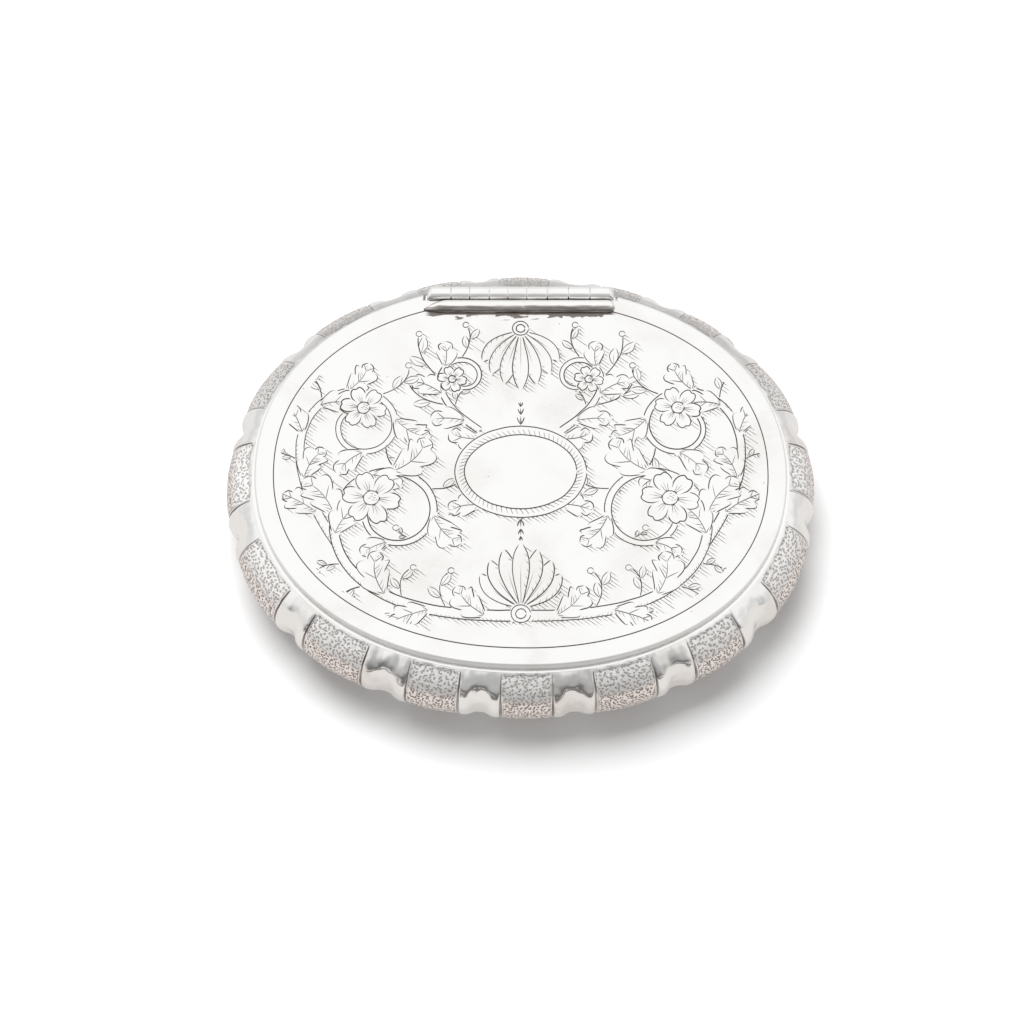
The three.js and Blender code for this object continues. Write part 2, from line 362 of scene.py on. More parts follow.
@dataclass(frozen=True)
class EngravedSilver(Silver):
    """The lid's silver, with dark cut lines, pinholes, and old soldering with painted shade along the ridge's
    foot.

    The top is the sheet's highest place, the side heights are measured down from it, and the notch is
    its front right corner. Over the side heights the rounded edge is painted greyer, as painted shade.
    """

    # Old soldering with painted shade: the dark along the ridge's foot and at the notch's ends.
    solder_and_shade: Colour = (0.16, 0.12, 0.1)
    solder_front: float = 0.0
    solder_half_length: float = 0.0
    solder_grain: float = 0.9 * MM
    solder_reach: Pair = (0.14 * MM, 1.0 * MM)
    solder_cover: float = 0.85
    pit_spacing: float = 3.1 * MM
    pit_edge: Pair = (0.018, 0.034)
    cut_edge: Pair = (0.1, 0.5)
    # Painted shade: the greyer colour of the rounded edge, blended in by side_share over side_height.
    side: Colour = (0.6, 0.585, 0.57)
    side_height: Pair = (0.22 * MM, 0.01 * MM)
    side_roughness: float = 0.5
    side_share: float = 0.2
    top: float = 0.0
    notch: Vector = Vector((0.0, 0.0, 0.0))

    def surface(self, shader: Shader, place: Signal) -> Three:
        """The silver's colour, roughness and normal, with the cuts and the solder over them."""
        colour, roughness, normal = super().surface(shader, place)
        pits = shader.rise(shader.cells(place, self.pit_spacing), *self.pit_edge, 0.8, 0.0)
        marks = self.solder_and_shade_marks(shader, place).at_least(pits)
        _, _, z = shader.parts(place)
        low, high = self.side_height
        # Painted shade on the rounded edge below the top, which is also made rougher.
        side = shader.rise(z, self.top - low, self.top - high, self.side_roughness, 0.0)
        colour = shader.blend(side * self.side_share, colour, self.side)
        # Painted shade with old soldering along the ridge's foot, and the pinholes.
        colour = shader.blend(marks, colour, self.solder_and_shade)
        cut = shader.rise(shader.attribute("cut"), *self.cut_edge)
        colour = shader.blend(cut, colour, self.dark)
        roughness = shader.rise(cut.at_least(marks), 0.0, 1.0, 0.0, 0.3) + side + roughness
        return colour, roughness, normal

    def solder_and_shade_marks(self, shader: Shader, place: Signal) -> Signal:
        """Works out old soldering in ragged patches along the front of the ridge's foot and at the notch's
        ends, darkened as painted shade where the ridge meets the sheet.

        Args:
            shader: the tree that takes the nodes.
            place: the point on the object.

        Returns:
            The share of soldering and painted shade, from 0 to 1, which is 0 off the sheet's top.
        """
        x, y, z = shader.parts(place)
        front = self.solder_front
        ragged = shader.noise(shader.stretched(place, 0.0, (0.35, 1.0, 1.0)), self.solder_grain, 4.0)
        reach = shader.rise(ragged, 0.42, 0.66, *self.solder_reach)
        near = shader.rise(front - y - reach, -0.12 * MM, 0.08 * MM, 1.0, 0.0)
        near = near * shader.rise(y, front + 0.2 * MM, front + 0.5 * MM, 1.0, 0.0)
        from_middle = x.distance_from(0.0)
        along = shader.rise(from_middle, self.solder_half_length - MM, self.solder_half_length, 1.0, 0.0)
        ragged_x = from_middle - ragged * (0.4 * MM)
        ends = shader.rise(ragged_x, self.notch.x, self.notch.x + 0.2 * MM, 1.0, 0.0)
        ends = ends * shader.rise(y + ragged * MM, self.notch.y + 0.4 * MM, self.notch.y + 0.8 * MM)
        on_top = shader.rise(z, self.top - 0.4 * MM, self.top - 0.2 * MM, 0.0, self.solder_cover)
        return (near * along).at_least(ends) * on_top


@dataclass(frozen=True)
class WallSilver(Silver):
    """The wall's silver: bright in the flutes, matted on the panels and painted warmer low down, dark in the
    cut lines.

    Low down the matting is painted warmer, as painted reflection of the table, and its dents are closer,
    and darker with dirt and painted shade. Behind it is duller. The mesh holds three attributes:
    "matting" and "cut" from 0 to 1, and "skin", the place along and up the wall.
    """

    matted: Colour = (0.96, 0.95, 0.94)
    # Painted reflection: the warm tone that the lower wall mirrors from the table.
    warm: Colour = (0.99, 0.93, 0.9)
    warm_top: float = 9.8 * MM
    dent: Colour = (0.45, 0.42, 0.4)
    back_dent: Colour = (0.52, 0.465, 0.44)
    dull: Colour = (0.76, 0.69, 0.665)
    dull_share: float = 0.15
    # Dirt with painted shade: the dents' darker colour low down.
    low_dent: Colour = (0.15, 0.115, 0.1)
    dent_spacing: float = 0.46 * MM
    low_dent_spacing: float = 0.41 * MM
    dent_length: float = 0.4
    dent_width: float = 0.24
    dent_spread: float = math.radians(150.0)
    dent_curl: float = 1.1
    dent_depth: float = 0.09 * MM
    dent_dirt_and_shade: float = 0.9
    matted_roughness: Pair = (0.22, 0.42)
    grain_size: float = 0.25 * MM
    grain_share: float = 0.22
    frost: float = 0.45
    streak_size: float = 1.9 * MM
    streak_depth: float = 0.33 * MM
    line: Colour = (0.17, 0.14, 0.125)
    line_edge: Pair = (0.08, 0.6)
    line_dirt: Pair = (0.6, 0.95)
    line_dirt_size: float = 7.0 * MM
    back: float = 12.0 * MM
    seam: float = 0.0
    seam_width: float = 0.35 * MM
    seam_grey: Colour = (0.56, 0.545, 0.535)

    def surface(self, shader: Shader, place: Signal) -> Three:
        """The silver's colour, roughness and normal, with the matting and the cut lines over them."""
        colour, roughness, normal = super().surface(shader, place)
        matting = shader.attribute("matting")
        skin = shader.attribute("skin", "Vector")
        _, y, z = shader.parts(place)
        low = shader.rise(z, self.warm_top - MM, self.warm_top, 1.0, 0.0)
        large = self.dents(shader, skin, self.dent_spacing)
        small = self.dents(shader, skin, self.low_dent_spacing)
        dents = (large + low * (small - large)) * matting
        behind = shader.rise(y, self.back, 2.0 * self.back)
        # Painted reflection: the matted ground is warmer low down, where the wall mirrors the table.
        ground = shader.blend(low, self.matted, self.warm)
        ground = shader.blend(behind * self.dull_share, ground, self.dull)
        grey = shader.rise(shader.noise(place, self.grain_size, 2.0), 0.35, 0.75, 0.0, self.grain_share)
        colour = shader.blend(matting, colour, shader.blend(grey, ground, self.tarnish))
        # The dents' colour: dirt in the hollows, darker low down as painted shade.
        dent = shader.blend(behind, shader.blend(low, self.dent, self.low_dent), self.back_dent)
        colour = shader.blend(dents * self.dent_dirt_and_shade, colour, dent)
        least_dirt, most_dirt = self.line_dirt
        dirt = shader.rise(shader.noise(place, self.line_dirt_size, 1.0), 0.35, 0.65, least_dirt, 1.0)
        dirt = dirt * (most_dirt - 0.35 * behind)
        # A grey band along the wall's top under the mouth ring, stronger behind.
        seam = shader.rise(z, self.seam - self.seam_width, self.seam) * (0.12 + 0.5 * behind)
        colour = shader.blend(seam, colour, self.seam_grey)
        cut = shader.rise(shader.attribute("cut"), *self.line_edge) * dirt
        colour = shader.blend(cut, colour, self.line)
        low_roughness, roughness_above = self.matted_roughness
        matted_roughness = roughness_above + low * (low_roughness - roughness_above)
        roughness = roughness + matting * matted_roughness + cut * 0.2
        streaks = shader.noise(shader.stretched(skin, 0.0, (1.0, 0.65, 1.0)), self.streak_size, 1.0)
        normal = shader.relief(streaks * (1.0 - matting), self.streak_depth, normal)
        return colour, roughness, shader.relief(1.0 - dents, self.dent_depth, normal)

    def metallic(self, shader: Shader, place: Signal) -> Operand:
        """The matting's upper part is frosted, more so in front, and throws light all ways."""
        _, y, z = shader.parts(place)
        high = shader.rise(z, self.warm_top - MM, self.warm_top + MM)
        frosted = high * shader.rise(y, 0.0, self.back, 1.0, 0.0)
        return 1.0 - shader.attribute("matting") * frosted * self.frost

    def dents(self, shader: Shader, skin: Signal, spacing: float) -> Signal:
        """Short curved dents, one to a cell, each turned and bent its own way.

        Args:
            shader: the tree that takes the nodes.
            skin: the place on the wall, along it and up it.
            spacing: between the dents' middles.

        Returns:
            1 in a dent and 0 beside it.
        """
        cells = shader.node(
            "TexVoronoi", {"voronoi_dimensions": "2D"}, {"Vector": skin, "Scale": 1.0 / spacing}
        )
        middle = Signal(shader, cells.outputs["Position"])
        turn, size, bend = shader.parts(Signal(shader, cells.outputs["Color"]))
        offset = shader.add("VectorMath", {"operation": "SUBTRACT"}, {0: skin, 1: middle})
        across, up, _ = shader.parts(offset)
        angle = (turn - 0.5) * self.dent_spread + math.pi / 2.0
        cosine, sine = angle.cosine(), angle.sine()
        along = (across * cosine + up * sine) / (size * (0.7 * spacing) + 0.65 * spacing)
        curl = (bend - 0.5) * along * along * self.dent_curl
        beside = (up * cosine - across * sine) * (1.0 / spacing) + curl
        along, beside = along * (1.0 / self.dent_length), beside * (1.0 / self.dent_width)
        return shader.rise(along * along + beside * beside, 0.5, 1.5, 1.0, 0.0)


@dataclass(frozen=True)
class HingeSilver(Silver):
    """The hinge's silver: bright on top, darker in streaks down its front and brown at its foot, which is old
    dirt and tarnish with painted shade.
    """

    # Painted shade with old dirt: the colour of the darker front.
    dirt: Colour = (0.27, 0.235, 0.21)
    dirt_and_shade_share: float = 0.95
    streak_size: float = 0.3 * MM
    streak_fringe: float = 0.5 * MM
    # Painted shade with brown tarnish: the colour low down at the foot, in the crevices.
    brown: Colour = (0.12, 0.09, 0.07)
    brown_size: float = 3.5 * MM
    brown_rise: Pair = (0.05 * MM, 0.45 * MM)
    front: float = 0.0
    foot: float = 0.0

    def surface(self, shader: Shader, place: Signal) -> Three:
        """The silver's colour, roughness and normal, with the dirt over them."""
        colour, roughness, normal = super().surface(shader, place)
        _, y, z = shader.parts(place)
        streaks = shader.noise(shader.stretched(place, 0.0, (0.1, 1.0, 1.0)), self.streak_size, 4.0)
        edge = y + (streaks - 0.5) * self.streak_fringe
        # Painted shade with old dirt, in streaks down the front.
        front = shader.rise(edge, self.front - 0.14 * MM, self.front + 0.12 * MM, 1.0, 0.0)
        dirt = front * shader.rise(streaks, 0.33, 0.7, self.dirt_and_shade_share, 0.6 * self.dirt_and_shade_share)
        colour = shader.blend(dirt, colour, self.dirt)
        patches = shader.rise(shader.noise(place, self.brown_size, 2.0), 0.4, 0.62, 0.25, 0.85)
        start, end = self.brown_rise
        # Painted shade with tarnish, low down at the foot and in patches.
        low = shader.rise(z, self.foot + start, self.foot + end, 1.0, 0.0) * patches
        return shader.blend(low, colour, self.brown), roughness + dirt * 0.12, normal


# Shared shapes


@dataclass(frozen=True)
class Oval:
    """The lid's edge line from above: an oval a little squarer than an ellipse, turned a little."""

    half_width: float = 36.05 * MM
    half_depth: float = 28.85 * MM
    squareness: float = 2.13
    turn: float = math.radians(-1.3)

    def at(self, angle: float) -> tuple[Vector, Vector]:
        """The edge line at an angle round it.

        Args:
            angle: in radians, 0 towards +X.

        Returns:
            The point and the direction square to the line, both level.
        """
        along, across = math.cos(angle), math.sin(angle)
        powers = abs(along) ** self.squareness + abs(across) ** self.squareness
        reach = powers ** (-1.0 / self.squareness)
        x = self.half_width * reach * along
        y = self.half_depth * reach * across
        steep = self.squareness - 1.0
        outward = Vector((
            math.copysign(abs(x / self.half_width) ** steep, x) / self.half_width,
            math.copysign(abs(y / self.half_depth) ** steep, y) / self.half_depth,
            0.0,
        )).normalized()
        turned = Matrix.Rotation(self.turn, 3, "Z")
        return turned @ Vector((x, y, 0.0)), turned @ outward

    def inset(self, angle: float, distance: float) -> Vector:
        """A point that far inside the edge line."""
        point, outward = self.at(angle)
        return point - outward * distance

    def holds(self, point: Vector, inset: float) -> bool:
        """Whether a point lies further than an inset inside the edge line."""
        place = Matrix.Rotation(-self.turn, 2) @ point.xy
        across = abs(place.x) / (self.half_width - inset)
        up = abs(place.y) / (self.half_depth - inset)
        return across**self.squareness + up**self.squareness < 1.0


def rounding(height: float, radius: float, steps: int, rises: bool) -> list[Pair]:
    """A quarter round from a plate's side to its flat.

    Args:
        height: of the flat.
        radius: of the rounding.
        steps: how many faces it has.
        rises: whether the flat is the plate's top.

    Returns:
        Points (offset from the side, height), from the side to the flat.
    """
    side = 1.0 if rises else -1.0
    angles = [math.pi / 2.0 * step / steps for step in range(steps + 1)]
    return [(radius * (math.cos(a) - 1.0), height + side * radius * (math.sin(a) - 1.0)) for a in angles]


def spun_profile(profile: Profile, closed: bool, radius: float, count: int) -> Mesh:
    """Turns a profile all the way round the upright axis.

    Args:
        profile: points (offset from the radius, height).
        closed: whether the last point joins the first.
        radius: of the round shape before it is drawn out.
        count: how many stations it has round it.

    Returns:
        The mesh. Its vertices hold the profile point's number in the layer "row".
    """
    mesh = bmesh.new()
    rows = mesh.verts.layers.int.new("row")
    corners = []
    for number, (offset, height) in enumerate(profile):
        corner = mesh.verts.new((radius + offset, 0.0, height))
        corner[rows] = number
        corners.append(corner)
    pairs = list(zip(corners, corners[1:]))
    if closed:
        pairs.append((corners[-1], corners[0]))
    edges = [mesh.edges.new(pair) for pair in pairs]
    centre = Vector((0.0, 0.0, 0.0))
    bmesh.ops.spin(
        mesh, geom=corners + edges, cent=centre, axis=UP, angle=math.tau, steps=count, use_merge=True
    )
    return mesh


def drawn_to_oval(oval: Oval, profile: Profile, closed: bool, count: int) -> Mesh:
    """Turns a profile round and draws it out to the oval, with open ends filled flat.

    Args:
        oval: the oval's edge line.
        profile: points (offset from the edge line, height).
        closed: whether the last point joins the first.
        count: how many stations the shape has round it.

    Returns:
        The closed mesh.
    """
    mesh = spun_profile(profile, closed, oval.half_width, count)
    rows = mesh.verts.layers.int["row"]
    for vertex in mesh.verts:
        point, outward = oval.at(math.atan2(vertex.co.y, vertex.co.x))
        offset, height = profile[vertex[rows]]
        vertex.co = point + outward * offset + UP * height
    if not closed:
        bmesh.ops.holes_fill(mesh, edges=[edge for edge in mesh.edges if edge.is_boundary])
    bmesh.ops.recalc_face_normals(mesh, faces=mesh.faces)
    return mesh


def turned_bar(profile: Profile, middle: Vector, sides: int, sweep: float = math.tau) -> Mesh:
    """Turns a profile about a line along X.

    Args:
        profile: points (place along X, radius).
        middle: a point on the line.
        sides: how many stations the sweep has.
        sweep: the angle turned through, from the front over the top.

    Returns:
        The closed mesh.
    """
    mesh = bmesh.new()
    corners = [mesh.verts.new((along, middle.y - radius, middle.z)) for along, radius in profile]
    edges = [mesh.edges.new(pair) for pair in zip(corners, corners[1:])]
    is_full = math.isclose(sweep, math.tau)
    left = Vector((-1.0, 0.0, 0.0))
    bmesh.ops.spin(
        mesh, geom=corners + edges, cent=middle, axis=left, angle=sweep, steps=sides, use_merge=is_full
    )
    bmesh.ops.remove_doubles(mesh, verts=mesh.verts, dist=SAME_PLACE)
    bmesh.ops.holes_fill(mesh, edges=[edge for edge in mesh.edges if edge.is_boundary])
    bmesh.ops.recalc_face_normals(mesh, faces=mesh.faces)
    return mesh


def box_mesh(low: Vector, high: Vector) -> Mesh:
    """A block between its lowest and its highest corner."""
    mesh = bmesh.new()
    size = high - low
    place = Matrix.Translation((low + high) / 2.0) @ Matrix.Diagonal((*size, 1.0))
    bmesh.ops.create_cube(mesh, size=1.0, matrix=place)
    return mesh


def as_mesh_data(name: str, mesh: Mesh) -> bpy.types.Mesh:
    """Makes a mesh block of a bmesh, which is freed."""
    data = bpy.data.meshes.new(name)
    mesh.to_mesh(data)
    mesh.free()
    return data


def put_in_scene(name: str, data: bpy.types.ID) -> bpy.types.Object:
    """Makes an object of a mesh, lamp or camera, at the origin, and puts it in the scene."""
    item = bpy.data.objects.new(name, data)
    bpy.context.scene.collection.objects.link(item)
    return item


def cut_by(mesh: Mesh, tool: Mesh) -> Mesh:
    """Cuts one closed mesh by another, and frees both.

    Args:
        mesh: what is cut.
        tool: what is taken away.

    Returns:
        The cut mesh.
    """
    blank = put_in_scene("cut_blank", as_mesh_data("cut_blank", mesh))
    cutter = put_in_scene("cut_tool", as_mesh_data("cut_tool", tool))
    difference = blank.modifiers.new("cut", "BOOLEAN")
    difference.operation = "DIFFERENCE"
    difference.solver = "EXACT"
    difference.object = cutter
    graph = bpy.context.evaluated_depsgraph_get()
    result = bmesh.new()
    result.from_object(blank, graph)
    for item in (blank, cutter):
        data = item.data
        bpy.data.objects.remove(item)
        bpy.data.meshes.remove(data)
    return result


def ease_edges(mesh: Mesh, edges: list[bmesh.types.BMEdge], width: float) -> None:
    """Rounds edges with a bevel.

    Args:
        mesh: the mesh that has them.
        edges: the edges.
        width: of the bevel.
    """
    bmesh.ops.bevel(
        mesh, geom=edges, offset=width, offset_type="OFFSET", segments=3,
        profile=0.5, affect="EDGES", material=-1, clamp_overlap=True,
    )


@dataclass(frozen=True)
class Piece:
    """One visible piece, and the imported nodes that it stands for."""

    name: str
    body: Body
    slot: Slot
    stands_for: tuple[str, ...]
    crease: float = math.radians(35.0)

    def finish(self, mesh: Mesh, material: bpy.types.Material) -> bpy.types.Object:
        """Makes the object, and shades, dresses and seats it.

        Args:
            mesh: its final mesh, which is freed. Faces marked flat stay flat.
            material: its finish.

        Returns:
            The object.
        """
        data = as_mesh_data(self.name, mesh)
        flat = [face.index for face in data.polygons if not face.use_smooth]
        data.set_sharp_from_angle(angle=self.crease)
        for number in flat:
            data.polygons[number].use_smooth = False
        data.materials.append(material)
        piece = put_in_scene(self.name, data)
        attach(piece, self.body.value)
        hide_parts(*self.stands_for)
        triangles = sum(len(face.vertices) - 2 for face in data.polygons)
        LOG.info("%s: %d triangles", self.name, triangles)
        return piece


def smoothed(mesh: Mesh) -> Mesh:
    """Marks every face as smooth."""
    for face in mesh.faces:
        face.smooth = True
    return mesh


# The body


@dataclass(frozen=True)
class Station:
    """A place round the wall: where it is, what it lies on, and how far across that it lies."""

    angle: float
    zone: Zone
    share: float
    line: int = 0


@dataclass(frozen=True)
class WallRow:
    """A point of the wall's section. The lean is the angle above the level in which the wall is pressed."""

    offset: float
    height: float
    lean: float | None = None
    is_outside: bool = False


@dataclass
class Wall:
    """The raised wall: matted panels and plain flutes in turn, with a cut line at each panel's edges.

    The panels are given by the angles of their two edges in degrees. A cut line's width and depth are
    given at its ends and at its middle.
    """

    oval: Oval
    finish: WallSilver
    arc_radius: float = 6.0 * MM
    shoulder: float = math.radians(70.7)
    thickness: float = 0.8 * MM
    foot_width: float = 1.2 * MM
    rim_show: float = 0.45 * MM
    seat_inset: float = 0.7 * MM
    panels: tuple[Pair, ...] = (
        (-2.5, 11), (21, 35.5), (46, 55), (65, 74),
        (85, 95.5), (104, 113), (124, 137), (147, 161.5),
        (172, 189), (200, 216), (224.5, 238.5), (248, 258.5),
        (267, 277.5), (286, 298.5), (307, 319), (330, 347),
    )
    panel_crown: float = 0.19 * MM
    flute_depth: float = 0.7 * MM
    flute_flatness: float = 1.6
    flute_roll: float = 0.15 * MM
    flute_roll_share: float = 0.22
    full_depth: float = math.radians(5.0)
    plain_band: float = math.radians(2.0)
    line_width: Pair = (0.24 * MM, 0.5 * MM)
    line_depth: Pair = (0.07 * MM, 0.18 * MM)
    line_margin: float = 0.38 * MM
    line_widest: float = math.radians(8.0)
    line_end: float = math.radians(64.5)
    line_run_out: float = math.radians(6.0)
    line_wander: float = 0.05 * MM
    matting_end: float = math.radians(64.0)
    matting_run_out: float = 0.06
    matting_raggedness: float = math.radians(2.5)
    matting_depth: float = 0.06 * MM
    dent_size: float = 0.5 * MM
    dent_edge: float = 0.24
    unevenness: float = 0.045 * MM
    hammer_sizes: Pair = (4.0 * MM, 1.5 * MM)
    flute_unevenness: float = 2.0
    panel_step: float = 0.2 * MM
    flute_step: float = 0.42 * MM
    row_step: float = 0.2 * MM
    inside_rows: int = 12

    def __post_init__(self) -> None:
        """Lays out the section and the stations."""
        self.base_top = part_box("base_plate")[1].z
        self.rim_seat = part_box("mouth_rim")[0].z
        self.arc_inset = self.arc_radius * math.cos(self.shoulder)
        self.arc_top = math.acos((self.rim_show + self.arc_inset) / self.arc_radius)
        self.bulge_height = self.base_top + self.arc_radius * math.sin(self.shoulder)
        self.rows = self.section()
        self.stations = self.layout()

    def arc(self, radius: float, start: float, end: float, steps: int, is_outside: bool) -> list[WallRow]:
        """The points of one arc of the section, from one lean to another."""
        leans = [start + (end - start) * step / steps for step in range(steps + 1)]
        level, middle = self.arc_inset, self.bulge_height
        return [
            WallRow(radius * math.cos(lean) - level, middle + radius * math.sin(lean), lean, is_outside)
            for lean in leans
        ]

    def section(self) -> list[WallRow]:
        """The wall's closed section: its outside, the ring's rebate, its inside and its foot.

        Returns:
            The points in turn, the outside first.
        """
        inner_radius = self.arc_radius - self.thickness
        seat_underside = self.rim_seat - self.thickness
        foot_top = self.base_top + self.thickness
        inner_top = math.asin((seat_underside - self.bulge_height) / inner_radius)
        inner_foot = math.asin((foot_top - self.bulge_height) / inner_radius)
        outside_rows = round(self.arc_radius * (self.arc_top + self.shoulder) / self.row_step)
        return [
            *self.arc(self.arc_radius, -self.shoulder, self.arc_top, outside_rows, True),
            WallRow(self.rim_show, self.rim_seat),
            WallRow(-self.seat_inset, self.rim_seat),
            WallRow(-self.seat_inset, seat_underside),
            *self.arc(inner_radius, inner_top, inner_foot, self.inside_rows, False),
            WallRow(-self.foot_width, foot_top),
            WallRow(-self.foot_width, self.base_top),
        ]

    def layout(self) -> list[Station]:
        """The stations: close together on the panels and the cut lines, and wider on the flutes.

        Returns:
            The stations in turn, all the way round.
        """
        stations = []
        for index, (start, end) in enumerate(self.panels):
            is_last = index == len(self.panels) - 1
            following = self.panels[0][0] + 360.0 if is_last else self.panels[index + 1][0]
            stations += self.line_stations(math.radians(start), 2 * index)
            stations += self.zone_stations(start, end, Zone.PANEL, self.panel_step)
            stations += self.line_stations(math.radians(end), 2 * index + 1)
            stations += self.zone_stations(end, following, Zone.FLUTE, self.flute_step)
        return stations

    def line_stations(self, angle: float, line: int) -> list[Station]:
        """The stations across a cut line. Their share goes from -1 at one side to 1 at the other."""
        return [Station(angle, Zone.LINE, share, line) for share in (-1.0, -0.5, 0.0, 0.5, 1.0)]

    def zone_stations(self, start: float, end: float, zone: Zone, step: float) -> list[Station]:
        """The stations across a panel or flute, between the margins of its two cut lines."""
        first, last = math.radians(start), math.radians(end)
        width = (self.oval.at(last)[0] - self.oval.at(first)[0]).length
        margin = self.line_margin / width
        count = round(width * (1.0 - 2.0 * margin) / step)
        shares = [margin + (1.0 - 2.0 * margin) * number / count for number in range(count + 1)]
        return [Station(first + (last - first) * share, zone, share) for share in shares]

    def pressed(self, station: Station) -> float:
        """How far the wall stands out at a station, at full depth. It is negative in a hollow."""
        if station.zone is Zone.LINE:
            return 0.0
        from_middle = abs(2.0 * station.share - 1.0)
        if station.zone is Zone.PANEL:
            return self.panel_crown * (1.0 - from_middle**2)
        roll_start = 1.0 - 2.0 * self.flute_roll_share
        if from_middle > roll_start:
            across_roll = math.pi * (from_middle - roll_start) / (1.0 - roll_start)
            return self.flute_roll * math.sin(across_roll)
        across_hollow = math.pi * (from_middle / roll_start) ** self.flute_flatness
        return -self.flute_depth * (1.0 + math.cos(across_hollow)) / 2.0

    def depth_share(self, lean: float) -> float:
        """The panels and flutes die away towards the mouth ring and the base."""
        return 1.0 - smooth_step(abs(lean), self.full_depth, self.arc_top - self.plain_band)

    def line_cut(self, station: Station, lean: float) -> tuple[float, float, float]:
        """The cut line at a station: how far the station lies across it, and how deep it is there.

        Args:
            station: on a cut line.
            lean: the place along the section.

        Returns:
            The sideways shift, the depth, and the depth's share of the full depth.
        """
        fullness = 1.0 - smooth_step(abs(lean), self.line_widest, self.line_end)
        wander = noise.noise(Vector((lean * 2.2, station.line * 3.7, 0.5)))
        tremble = noise.noise(Vector((lean * 9.0, station.line * 5.3, 9.5)))
        width = self.line_width[0] + (self.line_width[1] - self.line_width[0]) * fullness
        width *= 1.0 + 0.3 * wander
        end = 1.0 - smooth_step(abs(lean), self.line_end - self.line_run_out, self.line_end)
        depth = (self.line_depth[0] + (self.line_depth[1] - self.line_depth[0]) * fullness) * end
        share = 1.0 - abs(station.share) ** 1.3
        shift = station.share * width / 2.0 + self.line_wander * (wander + 0.5 * tremble)
        return shift, depth * share, share * end

    def matting(self, station: Station, lean: float) -> float:
        """Whether the surface is matted at a place, from 0 to 1. The matting ends raggedly."""
        if station.zone is not Zone.PANEL:
            return 0.0
        ragged = noise.noise(Vector((station.angle * 40.0, lean * 6.0, 2.0)))
        edge = abs(lean) + self.matting_raggedness * ragged
        return 1.0 - smooth_step(edge, self.matting_end - self.matting_run_out, self.matting_end)

    def hammering(self, point: Vector) -> float:
        """How far in the surface lies at a point, as the hammer left it."""
        wide, narrow = self.hammer_sizes
        soft = noise.noise(point / wide)
        short = noise.noise(point / narrow + Vector((7.0, 0.0, 0.0)))
        return self.unevenness * (0.5 + 0.3 * soft + 0.2 * short)

    def dent(self, point: Vector) -> float:
        """The matting punch's mark at a point: short worm-like hollows, from 0 to 1."""
        lines = abs(noise.noise(point / self.dent_size))
        breaks = noise.noise(point / (0.7 * self.dent_size) + Vector((0.0, 0.0, 31.0)))
        return (1.0 - smooth_step(lines, 0.0, self.dent_edge)) * smooth_step(breaks, -0.3, 0.1)

    def build(self) -> Mesh:
        """Turns the section round, draws it out to the oval, and presses and cuts it.

        Returns:
            The mesh, with the layers "cut", "matting" and "skin" for the finish.
        """
        profile = [(row.offset, row.height) for row in self.rows]
        mesh = spun_profile(profile, True, self.oval.half_width, len(self.stations))
        rows = mesh.verts.layers.int["row"]
        cuts = mesh.verts.layers.float.new("cut")
        mattings = mesh.verts.layers.float.new("matting")
        skins = mesh.verts.layers.float_vector.new("skin")
        spots = [self.oval.at(station.angle) for station in self.stations]
        around = [0.0]
        for here, there in zip(spots, spots[1:]):
            around.append(around[-1] + (there[0] - here[0]).length)
        for vertex in mesh.verts:
            number = round(math.atan2(vertex.co.y, vertex.co.x) / math.tau * len(spots)) % len(spots)
            row, station = self.rows[vertex[rows]], self.stations[number]
            point, outward = spots[number]
            sideways = UP.cross(outward)
            place = point + outward * row.offset + UP * row.height
            if station.zone is Zone.LINE:
                shift, depth, share = self.line_cut(station, row.lean or 0.0)
                place += sideways * shift
            if row.lean is None:
                vertex.co = place
                continue
            vertex[skins] = (around[number], row.lean * self.arc_radius, 0.0)
            push = self.pressed(station) * self.depth_share(row.lean)
            if row.is_outside:
                unevenness = self.flute_unevenness if station.zone is Zone.FLUTE else 1.0
                push -= self.hammering(place) * unevenness
                if station.zone is Zone.LINE:
                    push -= depth
                    vertex[cuts] = share
                matted = self.matting(station, row.lean)
                vertex[mattings] = matted
                if matted > 0.0:
                    push -= self.matting_depth * matted * self.dent(place)
            vertex.co = place + (outward * math.cos(row.lean) + UP * math.sin(row.lean)) * push
        bmesh.ops.recalc_face_normals(mesh, faces=mesh.faces)
        return smoothed(mesh)

    def make(self) -> None:
        """Builds, dresses and seats the wall."""
        piece = Piece("raised_wall", Body.BOX, Slot.WALL, ("body_wall",), math.radians(42.0))
        piece.finish(self.build(), self.finish.material())


